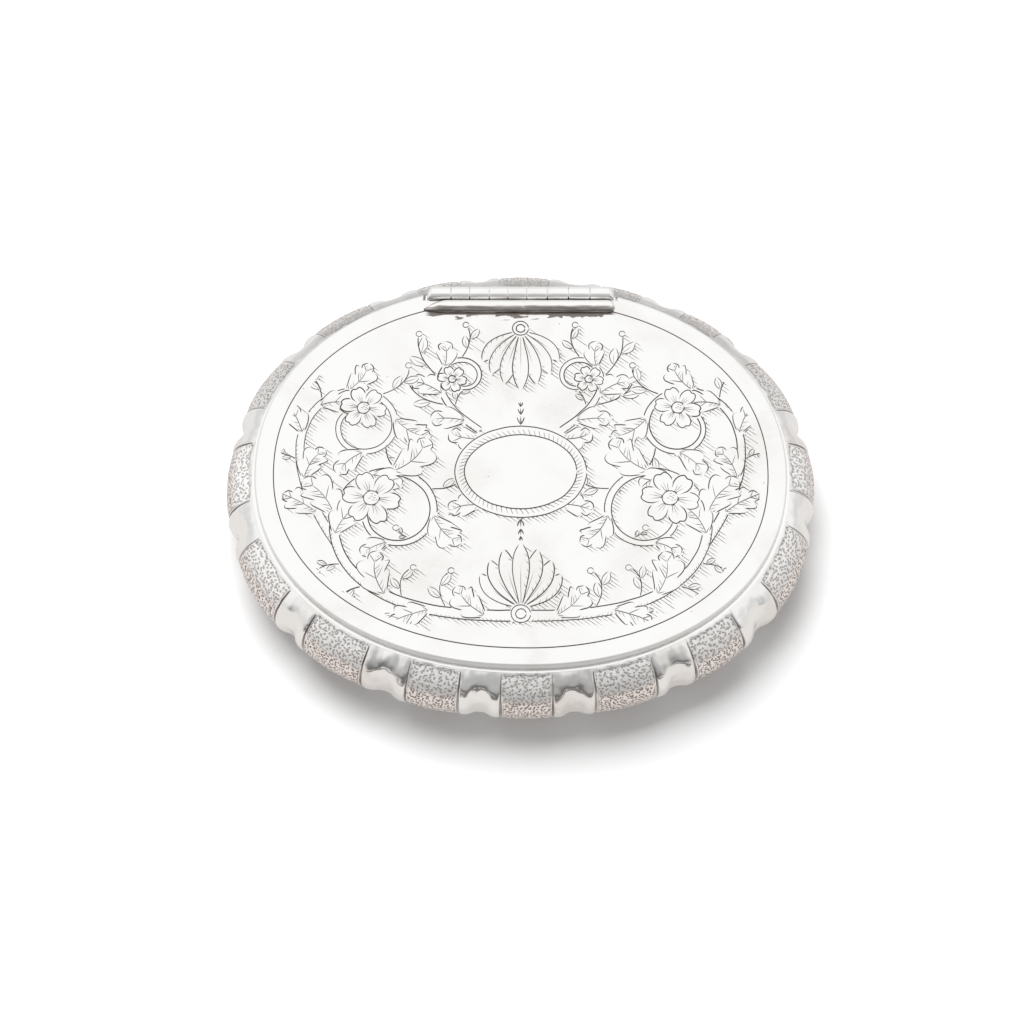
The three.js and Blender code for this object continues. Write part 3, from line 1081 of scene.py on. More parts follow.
@dataclass
class PlainRings:
    """The base plate, the flat ring round the mouth, and the lid's wire and collar."""

    oval: Oval
    base_finish: Silver
    rim_finish: Silver
    lid_finish: bpy.types.Material
    notch_low: Vector
    notch_high: Vector
    base_edge: float = 0.5 * MM
    rim_show: float = 0.45 * MM
    rim_edge: float = 0.06 * MM
    mouth_inset: float = 2.4 * MM
    wire_width: float = 1.5 * MM
    wire_edge: float = 0.25 * MM
    collar_clearance: float = 0.3 * MM
    collar_thickness: float = 0.5 * MM
    collar_edge: float = 0.1 * MM
    rounding_steps: int = 6
    fine_steps: int = 3
    count: int = 300

    def heights(self, node: str) -> Pair:
        """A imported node's lowest and highest places."""
        low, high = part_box(node)
        return low.z, high.z

    def base(self) -> Mesh:
        """The flat plate under the wall, with a rounded lower edge."""
        low, high = self.heights("base_plate")
        edge = rounding(low, self.base_edge, self.rounding_steps, False)
        return drawn_to_oval(self.oval, [(0.0, high), *edge], False, self.count)

    def mouth(self) -> Mesh:
        """The flat ring round the mouth, let in flush with the wall."""
        low, high = self.heights("mouth_rim")
        edge = rounding(high, self.rim_edge, self.fine_steps, True)
        outer = [(self.rim_show + x, z) for x, z in edge]
        inner = [(-self.mouth_inset - x, z) for x, z in reversed(edge)]
        profile = [(-self.mouth_inset, low), (self.rim_show, low), *outer, *inner]
        return drawn_to_oval(self.oval, profile, True, self.count)

    def wire(self) -> Mesh:
        """The wire under the lid's edge, which stops short of the hinge."""
        low, high = self.heights("lid_edge_wire")
        edge = list(reversed(rounding(low, self.wire_edge, self.rounding_steps, False)))
        profile = [(-self.wire_width, low), *edge, (0.0, high), (-self.wire_width, high)]
        ring = drawn_to_oval(self.oval, profile, True, self.count)
        return cut_by(ring, box_mesh(self.notch_low, self.notch_high))

    def collar(self) -> Mesh:
        """The upright collar that enters the mouth, with its lower edge eased.

        Returns:
            The closed mesh.
        """
        low, high = self.heights("lid_collar")
        outside = -self.mouth_inset - self.collar_clearance
        inside = outside - self.collar_thickness
        edge = rounding(low, self.collar_edge, self.fine_steps, False)
        outer = [(outside + x, z) for x, z in reversed(edge)]
        inner = [(inside - x, z) for x, z in edge]
        profile = [*outer, (outside, high), (inside, high), *inner]
        return drawn_to_oval(self.oval, profile, True, self.count)

    def make(self) -> None:
        """Builds, dresses and seats the four pieces."""
        rim, base = self.rim_finish.material(), self.base_finish.material()
        made = (
            (Piece("flat_base", Body.BOX, Slot.BASE, ("base_plate",)), self.base(), base),
            (Piece("mouth_ring", Body.BOX, Slot.RIM, ("mouth_rim",)), self.mouth(), rim),
            (Piece("edge_wire", Body.LID, Slot.LID, ("lid_edge_wire",)), self.wire(), self.lid_finish),
            (Piece("mouth_collar", Body.LID, Slot.RIM, ("lid_collar",)), self.collar(), rim),
        )
        for piece, mesh, material in made:
            piece.finish(smoothed(mesh), material)


# The engraving


@dataclass(frozen=True)
class Stroke:
    """One cut of the graver along a path, widest along its middle and fine at its ends."""

    path: tuple[Vector, ...]
    width: float
    opening: float = 0.35
    closing: float = 0.35

    def fullness(self, share: float) -> float:
        """The cut's width at a share of its length, as a share of the full width."""
        rises = smooth_step(share, 0.0, self.opening) if self.opening else 1.0
        falls = 1.0 - smooth_step(share, 1.0 - self.closing, 1.0) if self.closing else 1.0
        return min(rises, falls)


def pointing(heading: float) -> Vector:
    """The level direction at a heading in degrees, 0 towards +X."""
    return Vector((math.cos(math.radians(heading)), math.sin(math.radians(heading))))


def ring_about(centre: Vector, radius: float, steps: int, turn: float = 0.0) -> Path:
    """The points of a ring, with the first one again at the end."""
    return [centre + pointing(turn + 360.0 * step / steps) * radius for step in range(steps + 1)]


def length_of(path: Path) -> float:
    """A path's length."""
    return sum((there - here).length for here, there in zip(path, path[1:]))


def sweep(
    start: Vector, heading: float, length: float, bends: Pair, step: float = 0.25
) -> Path:
    """A path whose bend changes evenly along it, as a scroll's does.

    Args:
        start: its first point, in millimetres as all of the design.
        heading: its first direction in degrees.
        length: along it.
        bends: the turn in degrees per millimetre at its start and at its end, to the left.
        step: between its points.

    Returns:
        The path.
    """
    count = max(3, math.ceil(length / step))
    path = [start.copy()]
    for number in range(count):
        share = (number + 0.5) / count
        bend = bends[0] + (bends[1] - bends[0]) * share
        heading += bend * length / count / 2.0
        path.append(path[-1] + pointing(heading) * (length / count))
        heading += bend * length / count / 2.0
    return path


def alongside(path: Path, width: Callable[[float], float]) -> Path:
    """The path moved to its left by a width that varies with the share of its length."""
    moved = []
    for number, point in enumerate(path):
        along = path[min(number + 1, len(path) - 1)] - path[max(number - 1, 0)]
        left = Vector((-along.y, along.x)).normalized()
        moved.append(point + left * width(number / (len(path) - 1)))
    return moved


def spot(path: Path, share: float) -> tuple[Vector, float]:
    """The point at a share of a path, and the heading there in degrees."""
    place = min(share, 0.999) * (len(path) - 1)
    number = int(place)
    here, there = path[number], path[number + 1]
    return here.lerp(there, place - number), math.degrees(math.atan2(there.y - here.y, there.x - here.x))


class Plate:
    """The field that is engraved: it takes cuts, and keeps them off what is already drawn.

    Sizes are in millimetres. The hand shakes by a little, over waves of a size. A cut has a least length
    and number of points, and ends bluntly where it meets what covers it.
    """

    SHAKE = 0.05
    SHAKE_SIZE = 1.7
    LEAST_LENGTH = 0.45
    LEAST_POINTS = 3
    BLUNT_END = 0.25
    BLUNT_SHARE = 0.12

    def __init__(self, is_open: Callable[[Vector], bool], seed: int) -> None:
        """Starts with an empty field.

        Args:
            is_open: whether a point may be cut.
            seed: for the small unevenness of handwork.
        """
        self.is_open = is_open
        self.hand = random.Random(seed)
        # Without a seed, the noise's vectors change with each start of Blender.
        noise.seed_set(seed)
        self.covers: dict[tuple[int, int], list[Path]] = {}
        self.strokes: list[Stroke] = []

    def cover(self, outline: Path) -> None:
        """Hides what is drawn later behind an outline.

        Args:
            outline: the corners in turn.
        """
        across, up = [point.x for point in outline], [point.y for point in outline]
        for column in range(math.floor(min(across)), math.floor(max(across)) + 1):
            for row in range(math.floor(min(up)), math.floor(max(up)) + 1):
                self.covers.setdefault((column, row), []).append(outline)

    def is_bare(self, point: Vector) -> bool:
        """Whether a point may be cut and nothing covers it."""
        near = self.covers.get((math.floor(point.x), math.floor(point.y)), ())
        return self.is_open(point) and not any(self.holds(outline, point) for outline in near)

    @staticmethod
    def holds(outline: Path, point: Vector) -> bool:
        """Whether an outline goes round a point."""
        inside = False
        before = outline[-1]
        for corner in outline:
            if (corner.y > point.y) != (before.y > point.y):
                reach = before.x + (point.y - before.y) / (corner.y - before.y) * (corner.x - before.x)
                if point.x < reach:
                    inside = not inside
            before = corner
        return inside

    def cut(self, path: Path, width: float, opening: float = 0.3, closing: float = 0.3) -> None:
        """Cuts the bare parts of a path.

        Args:
            path: the graver's way.
            width: the full width of the cut.
            opening: the share of the length over which it widens.
            closing: the share over which it runs out.
        """
        tremor = self.hand.uniform(0.0, 90.0)
        width *= self.hand.uniform(0.88, 1.12)
        run: Path = []
        runs: list[tuple[Path, bool, bool]] = []
        starts_free = True
        for point in path:
            place = Vector((point.x / self.SHAKE_SIZE, point.y / self.SHAKE_SIZE, tremor))
            if self.is_bare(point):
                run.append(point + noise.noise_vector(place).xy * self.SHAKE)
                continue
            runs.append((run, starts_free, False))
            run, starts_free = [], False
        runs.append((run, starts_free, True))
        for way, is_first, is_last in runs:
            length = length_of(way)
            if len(way) < self.LEAST_POINTS or length < self.LEAST_LENGTH:
                continue
            blunt = min(self.BLUNT_SHARE, self.BLUNT_END / length)
            start, end = opening if is_first else blunt, closing if is_last else blunt
            self.strokes.append(Stroke(tuple(point * MM for point in way), width * MM, start, end))


@dataclass(frozen=True)
class Scroll:
    """What a scroll carries. A leaf or sprig has a share of the stem, a side (1 is left), length and bend."""

    widths: Pair
    leaves: tuple[Growth, ...]
    sprigs: tuple[Growth, ...]
    flower: float


LOW_SCROLL = Scroll(
    (1.6, 0.7),
    (
        (0.05, 1.0, 6.5, 8.0), (0.16, -1.0, 6.0, 3.0), (0.25, 1.0, 7.5, 9.0), (0.42, 1.0, 7.0, 9.0),
        (0.46, -1.0, 8.0, 7.0), (0.58, 1.0, 5.0, 11.0), (0.62, -1.0, 8.0, 8.0), (0.76, -1.0, 6.5, 9.0),
        (0.88, -1.0, 4.5, 10.0),
    ),
    (
        (0.12, 1.0, 7.0, 14.0), (0.21, 1.0, 6.0, 16.0), (0.2, -1.0, 4.5, 8.0), (0.29, -1.0, 5.5, 12.0),
        (0.35, -1.0, 4.5, 12.0), (0.7, -1.0, 6.5, 14.0), (0.83, 1.0, 3.0, 14.0),
    ),
    4.1,
)
HIGH_SCROLL = Scroll(
    (1.3, 0.6),
    (
        (0.1, -1.0, 6.0, 3.0), (0.2, 1.0, 6.0, 9.0), (0.33, -1.0, 5.0, 6.0), (0.42, 1.0, 6.0, 10.0),
        (0.5, -1.0, 6.0, 8.0), (0.66, -1.0, 6.5, 9.0), (0.8, -1.0, 5.5, 9.0),
    ),
    ((0.25, -1.0, 4.0, 12.0), (0.43, -1.0, 6.0, 14.0), (0.58, -1.0, 7.0, 12.0), (0.74, -1.0, 6.0, 14.0)),
    3.3,
)
INNER_SCROLL = Scroll(
    (1.0, 0.5),
    ((0.1, -1.0, 5.5, 6.0), (0.32, -1.0, 5.5, 8.0), (0.5, -1.0, 4.6, 9.0)),
    ((0.2, 1.0, 4.5, 14.0), (0.24, -1.0, 7.5, -10.0), (0.42, -1.0, 8.0, -7.0), (0.6, -1.0, 6.0, 12.0)),
    2.1,
)


@dataclass
class Foliage:
    """Scrolling leaves round a plain oval, in the manner of old pattern books. Sizes in millimetres."""

    plate: Plate
    outline_width: float = 0.19
    vein_width: float = 0.15
    hatch_width: float = 0.11
    lobe_length: float = 2.3
    lobe_steps: int = 10
    stem_hatching: float = 0.55
    ring_steps: int = 24
    flower_seeds: int = 7
    seed_turn: float = 137.5
    petal_steps: int = 16
    frame_width: float = 1.3
    frame_hatches: int = 72
    hatched_half: float = 45.0
    field_half: float = 36.0

    def petal_leaf(
        self, base: Vector, heading: float, length: float, breadth: float, bend: float, shaded: float
    ) -> None:
        """Draws a lobed leaf that bends along its rib.

        Args:
            base: where it grows from.
            heading: its first direction in degrees.
            length: along its rib.
            breadth: from the rib to its widest lobe.
            bend: the rib's turn in degrees per millimetre.
            shaded: 1 to hatch its left side, -1 its right side.
        """
        rib = sweep(base, heading, length, (bend * 0.5, bend * 1.7))
        lobes = max(2, round(length / self.lobe_length))
        left = self.lobed_edge(rib, breadth, 1.0, lobes)
        right = self.lobed_edge(rib, breadth, -1.0, lobes)
        for edge in left + right:
            self.plate.cut(edge, self.outline_width, 0.15, 0.45)
        self.plate.cut(rib, self.vein_width, 0.1, 0.5)
        for side in (1.0, -1.0):
            for lobe in range(lobes):
                self.lobe_lines(rib, breadth, side, lobes, lobe, side == shaded)
        there, back = ([point for edge in edges for point in edge] for edges in (left, right))
        self.plate.cover(there + back[::-1])

    @staticmethod
    def breadth_at(share: float) -> float:
        """A leaf's breadth along its rib, as a share of the widest."""
        return (0.4 * (1.0 - share) + math.sin(math.pi * share**0.85) ** 0.8) * 0.92

    def lobed_edge(self, rib: Path, breadth: float, side: float, lobes: int) -> list[Path]:
        """A leaf's edge on one side, lobe by lobe. Each lobe points forwards."""
        edges = []
        for lobe in range(lobes):
            edge = []
            for number in range(self.lobe_steps + 1):
                u = number / self.lobe_steps
                share = (lobe + u) / lobes
                point, heading = spot(rib, share * 0.97)
                swell = 0.52 + 0.48 * math.sin(math.pi * u**1.25) ** 0.75
                reach = breadth * self.breadth_at(share) * swell * (1.0 - share**6)
                edge.append(point + pointing(heading + 58.0 * side) * reach)
            edges.append(edge)
        return edges

    def lobe_lines(
        self, rib: Path, breadth: float, side: float, lobes: int, lobe: int, is_shaded: bool
    ) -> None:
        """Cuts the vein of one lobe, and the hatching beside it.

        Args:
            rib: the leaf's rib.
            breadth: from the rib to the widest lobe.
            side: 1 on the left, -1 on the right.
            lobes: how many the side has.
            lobe: the lobe's number.
            is_shaded: whether it is hatched.
        """
        for line in range(3 if is_shaded else 1):
            share = (lobe + 0.1 + 0.27 * line) / lobes
            base, heading = spot(rib, share)
            length = breadth * self.breadth_at(share) * (0.62 if line else 1.0)
            if share > 0.93 or length < 0.5:
                continue
            lean = side * (38.0 + 6.0 * line)
            way = sweep(base, heading + lean, length, (side * 8.0, -side * 8.0), 0.2)
            width = self.hatch_width if line else self.vein_width * 0.9
            self.plate.cut(way, width, 0.1, 0.6)

    def both_sides(
        self, rib: Path, half: Callable[[float], float], width: float, opening: float, closing: float
    ) -> tuple[Path, Path]:
        """Cuts a line on each side of a rib, and gives back the left one and the right one."""
        left, right = alongside(rib, half), alongside(rib, lambda share: -half(share))
        for line in (left, right):
            self.plate.cut(line, width, opening, closing)
        return left, right

    def stem(self, path: Path, widths: Pair, hatched: float) -> None:
        """Draws a stem of two lines that narrows along the path, hatched along one side.

        Args:
            path: its middle.
            widths: at its start and its end.
            hatched: 1 to hatch its left side, -1 its right side.
        """
        def half(share: float) -> float:
            """Half the stem's width at a share of its length."""
            return (widths[0] + (widths[1] - widths[0]) * share) / 2.0

        left, right = self.both_sides(path, half, self.outline_width, 0.03, 0.05)
        length = length_of(path)
        for number in range(int(length / self.stem_hatching)):
            share = (number + self.plate.hand.uniform(0.2, 0.8)) * self.stem_hatching / length
            point, heading = spot(path, share)
            edge = point + pointing(heading + 90.0 * hatched) * half(share)
            reach = half(share) * 2.0 * self.plate.hand.uniform(0.35, 0.6)
            way = sweep(edge, heading - hatched * 52.0, reach, (hatched * 10.0, hatched * 10.0), 0.15)
            self.plate.cut(way, self.hatch_width, 0.0, 0.7)
        self.plate.cover(left + right[::-1])

    def flower(self, centre: Vector, radius: float, petals: int, turn: float) -> None:
        """Draws a round flower of notched petals about a seeded eye.

        Args:
            centre: its middle.
            radius: out to the petals' tips.
            petals: how many it has.
            turn: of the first petal's side, in degrees.
        """
        eye = radius * 0.26
        ring = ring_about(centre, eye, self.ring_steps, turn)
        self.plate.cut(ring, self.outline_width * 0.9, 0.02, 0.02)
        for number in range(self.flower_seeds):
            reach = math.sqrt((number + 0.3) / self.flower_seeds)
            start = centre + pointing(number * self.seed_turn) * eye * 0.62 * reach
            seed = [start, *(start + Vector(step) for step in ((0.16, 0.05), (0.3, 0.02), (0.5, -0.02)))]
            self.plate.cut(seed, self.hatch_width, 0.2, 0.4)
        self.plate.cover(ring)
        for petal in range(petals):
            middle = turn + 360.0 * (petal + 0.5) / petals
            outline = []
            for step in range(self.petal_steps + 1):
                u = step / self.petal_steps
                across = (u - 0.5) * 360.0 / petals * 1.06
                swell = math.sin(math.pi * u) ** 0.45
                notch = 0.13 * math.exp(-((u - 0.5) / 0.09) ** 2)
                reach = eye + (radius - eye) * swell * (1.0 - notch)
                outline.append(centre + pointing(middle + across) * reach)
            self.plate.cut(outline, self.outline_width, 0.06, 0.06)
            for line in (-1.0, 0.0, 1.0):
                base = centre + pointing(middle + line * 9.0) * eye * 1.08
                length = (radius - eye) * (0.62 if line else 0.78)
                way = sweep(base, middle + line * 12.0, length, (line * 4.0, line * 4.0), 0.2)
                self.plate.cut(way, self.hatch_width, 0.0, 0.7)
            self.plate.cover([centre, *outline])

    def scroll(self, path: Path, scroll: Scroll, side: float) -> None:
        """Draws a flower at a scroll's eye, leaves along it, the stem behind them and sprigs behind that.

        Args:
            path: the stem's middle.
            scroll: what it carries.
            side: 1 for the right half of the field, -1 for the left one, which mirrors it.
        """
        self.flower(path[-1], scroll.flower, 6, 20.0)
        for share, which, size, bend in scroll.leaves:
            base, way = spot(path, share)
            hand = which * side
            self.petal_leaf(base, way + hand * 26.0, size, size * 0.33, hand * bend, hand)
        self.stem(path, scroll.widths, scroll.leaves[-1][1] * side)
        for share, which, size, bend in scroll.sprigs:
            base, way = spot(path, share)
            hand = which * side
            self.sprig(base, way + hand * 48.0, size, hand * bend)

    def palmette(self, centre: Vector, heading: float, radius: float, count: int) -> None:
        """Draws a fan of plain leaves, the middle one in front.

        Args:
            centre: where the leaves meet.
            heading: of the middle leaf, in degrees.
            radius: the middle leaf's length.
            count: how many leaves there are.
        """
        middle = (count - 1) / 2.0
        half = radius * 0.115

        def breadth(share: float) -> float:
            """Half a leaf's width at a share of its length."""
            return half * math.sin(math.pi * share**1.5) ** 0.75 + 0.12 * (1.0 - share)

        for number in sorted(range(count), key=lambda leaf: abs(leaf - middle)):
            offset = number - middle
            length = radius * (1.0 - 0.075 * abs(offset))
            bend = -offset * 1.1
            rib = sweep(centre, heading + offset * 150.0 / count, length, (bend, bend * 2.2))
            left, right = self.both_sides(rib, breadth, self.outline_width, 0.1, 0.1)
            self.plate.cut(rib[: round(len(rib) * 0.85)], self.hatch_width, 0.0, 0.6)
            for line in range(5):
                base, along = spot(right, 0.3 + 0.12 * line)
                way = sweep(base, along + 40.0, half * 0.9, (0.0, 0.0), 0.15)
                self.plate.cut(way, self.hatch_width, 0.0, 0.6)
            self.plate.cover(left + right[::-1])

    @staticmethod
    def on_oval(centre: Vector, width: float, height: float, angle: float) -> Vector:
        """The point of an upright oval at an angle in radians."""
        return centre + Vector((width * math.cos(angle), height * math.sin(angle)))

    def cartouche(self, centre: Vector, width: float, height: float) -> None:
        """Draws a plain oval within a narrow hatched frame.

        Args:
            centre: its middle.
            width: half the oval's width.
            height: half the oval's height.
        """
        inner, outer = (
            [
                self.on_oval(centre, width + extra, height + extra, math.tau * step / 120)
                for step in range(121)
            ]
            for extra in (0.0, self.frame_width)
        )
        self.plate.cut(inner, self.outline_width, 0.01, 0.01)
        self.plate.cut(outer, self.outline_width, 0.01, 0.01)
        for step in range(self.frame_hatches):
            angle = 360.0 * step / self.frame_hatches
            base = self.on_oval(centre, width + 0.1, height + 0.1, math.radians(angle))
            way = sweep(base, angle + 28.0, 1.15, (0.0, 18.0), 0.15)
            self.plate.cut(way, self.hatch_width, 0.0, 0.5)
        self.plate.cover(outer)

    def cast(self, heading: float, spacing: float, reach: Pair) -> None:
        """Hatches beside all that is drawn, as if light fell from the other side.

        Args:
            heading: of the strokes in degrees.
            spacing: between them.
            reach: the shortest and the longest stroke.
        """
        along, across = pointing(heading), pointing(heading + 90.0)
        step = 0.2
        rows = round(2.0 * self.hatched_half / spacing)
        steps = round(self.hatched_half / step)
        for row in range(rows):
            line = across * (row - rows / 2.0) * spacing
            was_covered = False
            skip = 0.0
            for number in range(-steps, steps):
                point = line + along * number * step
                skip -= step
                if skip > 0.0 or max(abs(point.x), abs(point.y)) > self.field_half:
                    continue
                is_bare = self.plate.is_bare(point)
                if is_bare and was_covered:
                    length = self.plate.hand.uniform(*reach)
                    way = sweep(point + along * 0.1, heading, length, (0.0, 3.0), 0.2)
                    self.plate.cut(way, self.hatch_width, 0.0, 0.7)
                    skip = length
                was_covered = not is_bare and self.plate.is_open(point)

    def draw(self) -> None:
        """Draws the whole design, what lies in front first."""
        self.cartouche(Vector((0.0, -0.2)), 7.6, 5.6)
        for side in (1.0, -1.0):
            for angle in (52.0, -52.0):
                way, turn = math.radians(angle), math.copysign(58.0, angle)
                base = Vector((side * 8.4 * math.cos(way), 6.4 * math.sin(way) - 0.2))
                heading = angle - turn if side > 0.0 else 180.0 - angle + turn
                self.petal_leaf(base, heading, 5.2, 5.2 * 0.34, side * math.copysign(9.0, turn), side)
        self.boss(Vector((0.0, -21.3)), 1.3)
        self.palmette(Vector((0.0, -20.4)), 90.0, 9.6, 7)
        self.boss(Vector((0.0, 21.9)), 1.1)
        self.palmette(Vector((0.0, 21.4)), 270.0, 9.2, 7)
        for side in (1.0, -1.0):
            self.wing(side)
        self.husks(Vector((0.0, -7.4)), 270.0, (1.3, 1.0, 0.7))
        self.husks(Vector((0.0, 7.0)), 90.0, (1.4, 1.1, 0.8))
        self.cast(-38.0, 0.46, (0.9, 2.6))

    def sprig(self, base: Vector, heading: float, length: float, bend: float) -> None:
        """Draws a curling tendril with a berry at its end and two small leaves.

        Args:
            base: where it grows from.
            heading: its first direction in degrees.
            length: along it.
            bend: its turn in degrees per millimetre.
        """
        way = sweep(base, heading, length, (bend * 0.2, bend * 1.8))
        ring = ring_about(way[-1], 0.42, 12)
        self.plate.cut(ring, self.vein_width, 0.05, 0.05)
        self.plate.cover(ring)

        def breadth(share: float) -> float:
            """Half a small leaf's width at a share of its length."""
            return length * 0.075 * math.sin(math.pi * share)

        for share, side in ((0.35, 1.0), (0.6, -1.0)):
            point, along = spot(way, share)
            rib = sweep(point, along + side * 40.0, length * 0.36, (-side * 9.0, -side * 9.0))
            left, right = self.both_sides(rib, breadth, self.vein_width, 0.1, 0.2)
            self.plate.cut(rib, self.hatch_width, 0.1, 0.6)
            self.plate.cover(left + right[::-1])
        self.plate.cut(way, self.outline_width, 0.1, 0.1)

    def husks(self, top: Vector, heading: float, sizes: Sequence[float]) -> None:
        """Draws a string of bell husks, each hanging from the one before."""
        place = top
        for size in sizes:
            for side in (1.0, -1.0):
                bend = -side * 38.0 / size
                edge = sweep(place, heading + side * 40.0, size, (bend, bend), 0.2)
                self.plate.cut(edge, self.outline_width, 0.1, 0.3)
                fold = sweep(place, heading + side * 14.0, size * 0.8, (0.0, 0.0), 0.2)
                self.plate.cut(fold, self.hatch_width, 0.0, 0.6)
            rib = sweep(place, heading, size * 1.15, (0.0, 0.0), 0.2)
            self.plate.cut(rib, self.vein_width, 0.0, 0.5)
            place = place + pointing(heading) * size * 1.1

    def boss(self, centre: Vector, radius: float) -> None:
        """Draws a small round boss that binds stems together."""
        outer = ring_about(centre, radius, self.ring_steps)
        self.plate.cut(outer, self.outline_width, 0.02, 0.02)
        steps = range(self.ring_steps + 1)
        inner = [centre + pointing(360.0 * step / self.ring_steps) * radius * 0.55 for step in steps]
        self.plate.cut(inner, self.outline_width, 0.02, 0.02)
        self.plate.cover(outer)

    @staticmethod
    def winding(start: Vector, heading: float, side: float, *legs: tuple[float, float, float]) -> Path:
        """A path of several legs, each going on from the one before.

        Args:
            start: its first point.
            heading: its first direction in degrees.
            side: 1, or -1 to bend the other way.
            legs: the length of each, and its bends at the start and at the end.

        Returns:
            The path.
        """
        way = [start]
        for length, bend, last_bend in legs:
            way = way[:-1] + sweep(way[-1], heading, length, (bend * side, last_bend * side))
            heading += (bend + last_bend) / 2.0 * length * side
        return way

    def wing(self, side: float) -> None:
        """Draws the scrolls of one half of the field. The side is 1 on the right, -1 on the left."""
        is_right = side > 0.0
        start = Vector((side * 1.2, -21.6))
        low = self.winding(start, 0.0 if is_right else 180.0, side, (15.0, 0.4, 2.4), (54.0, 2.8, 14.5))
        self.scroll(low, LOW_SCROLL, side)
        base, heading = spot(low, 0.4)
        high = self.winding(base, heading - 16.0 * side, side, (15.0, 0.5, 3.6), (39.0, 4.4, 19.0))
        self.scroll(high, HIGH_SCROLL, side)
        start = Vector((side * 5.5, 6.0))
        inner = self.winding(start, 38.0 if is_right else 142.0, side, (9.0, 0.0, 9.0), (15.0, 14.0, 34.0))
        self.scroll(inner, INNER_SCROLL, side)


@dataclass
class Engraving:
    """The design cut into the lid: a plain line inside the edge, and foliage in the field."""

    oval: Oval
    ridge_front: float
    ridge_half_length: float
    border_inset: float = 2.6 * MM
    border_width: float = 0.19 * MM
    border_ends: Pair = (math.radians(109.0), math.radians(431.0))
    border_steps: int = 260
    field_inset: float = 3.3 * MM
    ridge_margin: float = 0.95 * MM
    depth_of_width: float = 0.45
    sample: float = 0.04 * MM
    same_point: float = 0.0005
    seed: int = 11
    strokes: list[Stroke] = field(default_factory=list)

    def __post_init__(self) -> None:
        """Draws the design."""
        self.border()
        plate = Plate(self.is_open, self.seed)
        Foliage(plate).draw()
        self.strokes += plate.strokes

    def is_open(self, point: Vector) -> bool:
        """Whether a point, in millimetres, lies in the field and clear of the ridge."""
        is_clear = point.y * MM < self.ridge_front - self.ridge_margin
        is_beside = abs(point.x) * MM > self.ridge_half_length + self.ridge_margin
        return (is_clear or is_beside) and self.oval.holds(point * MM, self.field_inset)

    def border(self) -> None:
        """The plain line round the field, which runs in under the ridge at both ends."""
        (start, end), steps = self.border_ends, self.border_steps
        angles = [start + (end - start) * step / steps for step in range(steps + 1)]
        path = tuple(self.oval.inset(angle, self.border_inset).xy for angle in angles)
        self.strokes.append(Stroke(path, self.border_width, 0.004, 0.004))

    def face(self, outline: Sequence[Vector]) -> tuple[list[Vector], list[float], list[Sequence[int]]]:
        """Cuts the design into a flat face.

        Args:
            outline: the face's corners in turn, level.

        Returns:
            The points (the height is the depth below the face, negative), how deep each lies as a
            share of the deepest cut, and the triangles.
        """
        points = [corner.xy / MM for corner in outline]
        edges = [(number, (number + 1) % len(outline)) for number in range(len(outline))]
        centres: list[tuple[Vector, float]] = []
        for stroke in self.strokes:
            self.lay(stroke, points, edges, centres)
        made = delaunay_2d_cdt(points, edges, [], 1, self.same_point)
        places, triangles = made[0], made[2]
        tree = KDTree(len(centres))
        for number, (centre, _) in enumerate(centres):
            tree.insert((*centre, 0.0), number)
        tree.balance()
        widest = max(half for _, half in centres)
        corners, shares = [], []
        for place in places:
            depth = 0.0
            for _, number, distance in tree.find_range((*place, 0.0), widest):
                half = centres[number][1]
                depth = max(depth, half - distance)
            corners.append(Vector((place.x * MM, place.y * MM, -2.0 * depth * self.depth_of_width * MM)))
            shares.append(depth / widest)
        return corners, shares, triangles

    def lay(
        self,
        stroke: Stroke,
        points: list[Vector],
        edges: list[tuple[int, int]],
        centres: list[tuple[Vector, float]],
    ) -> None:
        """Adds a stroke's two sides and its bottom line, in millimetres.

        Args:
            stroke: the cut.
            points: takes its points.
            edges: takes the pairs of points that its lines join.
            centres: takes places along its bottom line, with half its width there.
        """
        path = [point / MM for point in stroke.path]
        lengths = [0.0]
        for here, there in zip(path, path[1:]):
            lengths.append(lengths[-1] + (there - here).length)
        halves = [stroke.width / MM / 2.0 * stroke.fullness(length / lengths[-1]) for length in lengths]
        chains: list[list[int]] = [[], [], []]
        for number, (point, half) in enumerate(zip(path, halves)):
            before, after = path[max(number - 1, 0)], path[min(number + 1, len(path) - 1)]
            along = (after - before).normalized()
            across = Vector((-along.y, along.x))
            is_end = number in (0, len(path) - 1)
            for chain, side in zip(chains, (-1.0, 0.0, 1.0)):
                if is_end and side:
                    continue
                chain.append(len(points))
                points.append(point + across * half * side)
        first, last = chains[1][0], chains[1][-1]
        for chain in chains:
            whole = chain if chain is chains[1] else [first, *chain, last]
            edges.extend(zip(whole, whole[1:]))
        for number, (here, there) in enumerate(zip(path, path[1:])):
            steps = max(1, math.ceil((there - here).length / (self.sample / MM)))
            for step in range(steps):
                share = step / steps
                centres.append((
                    here.lerp(there, share),
                    halves[number] + (halves[number + 1] - halves[number]) * share,
                ))


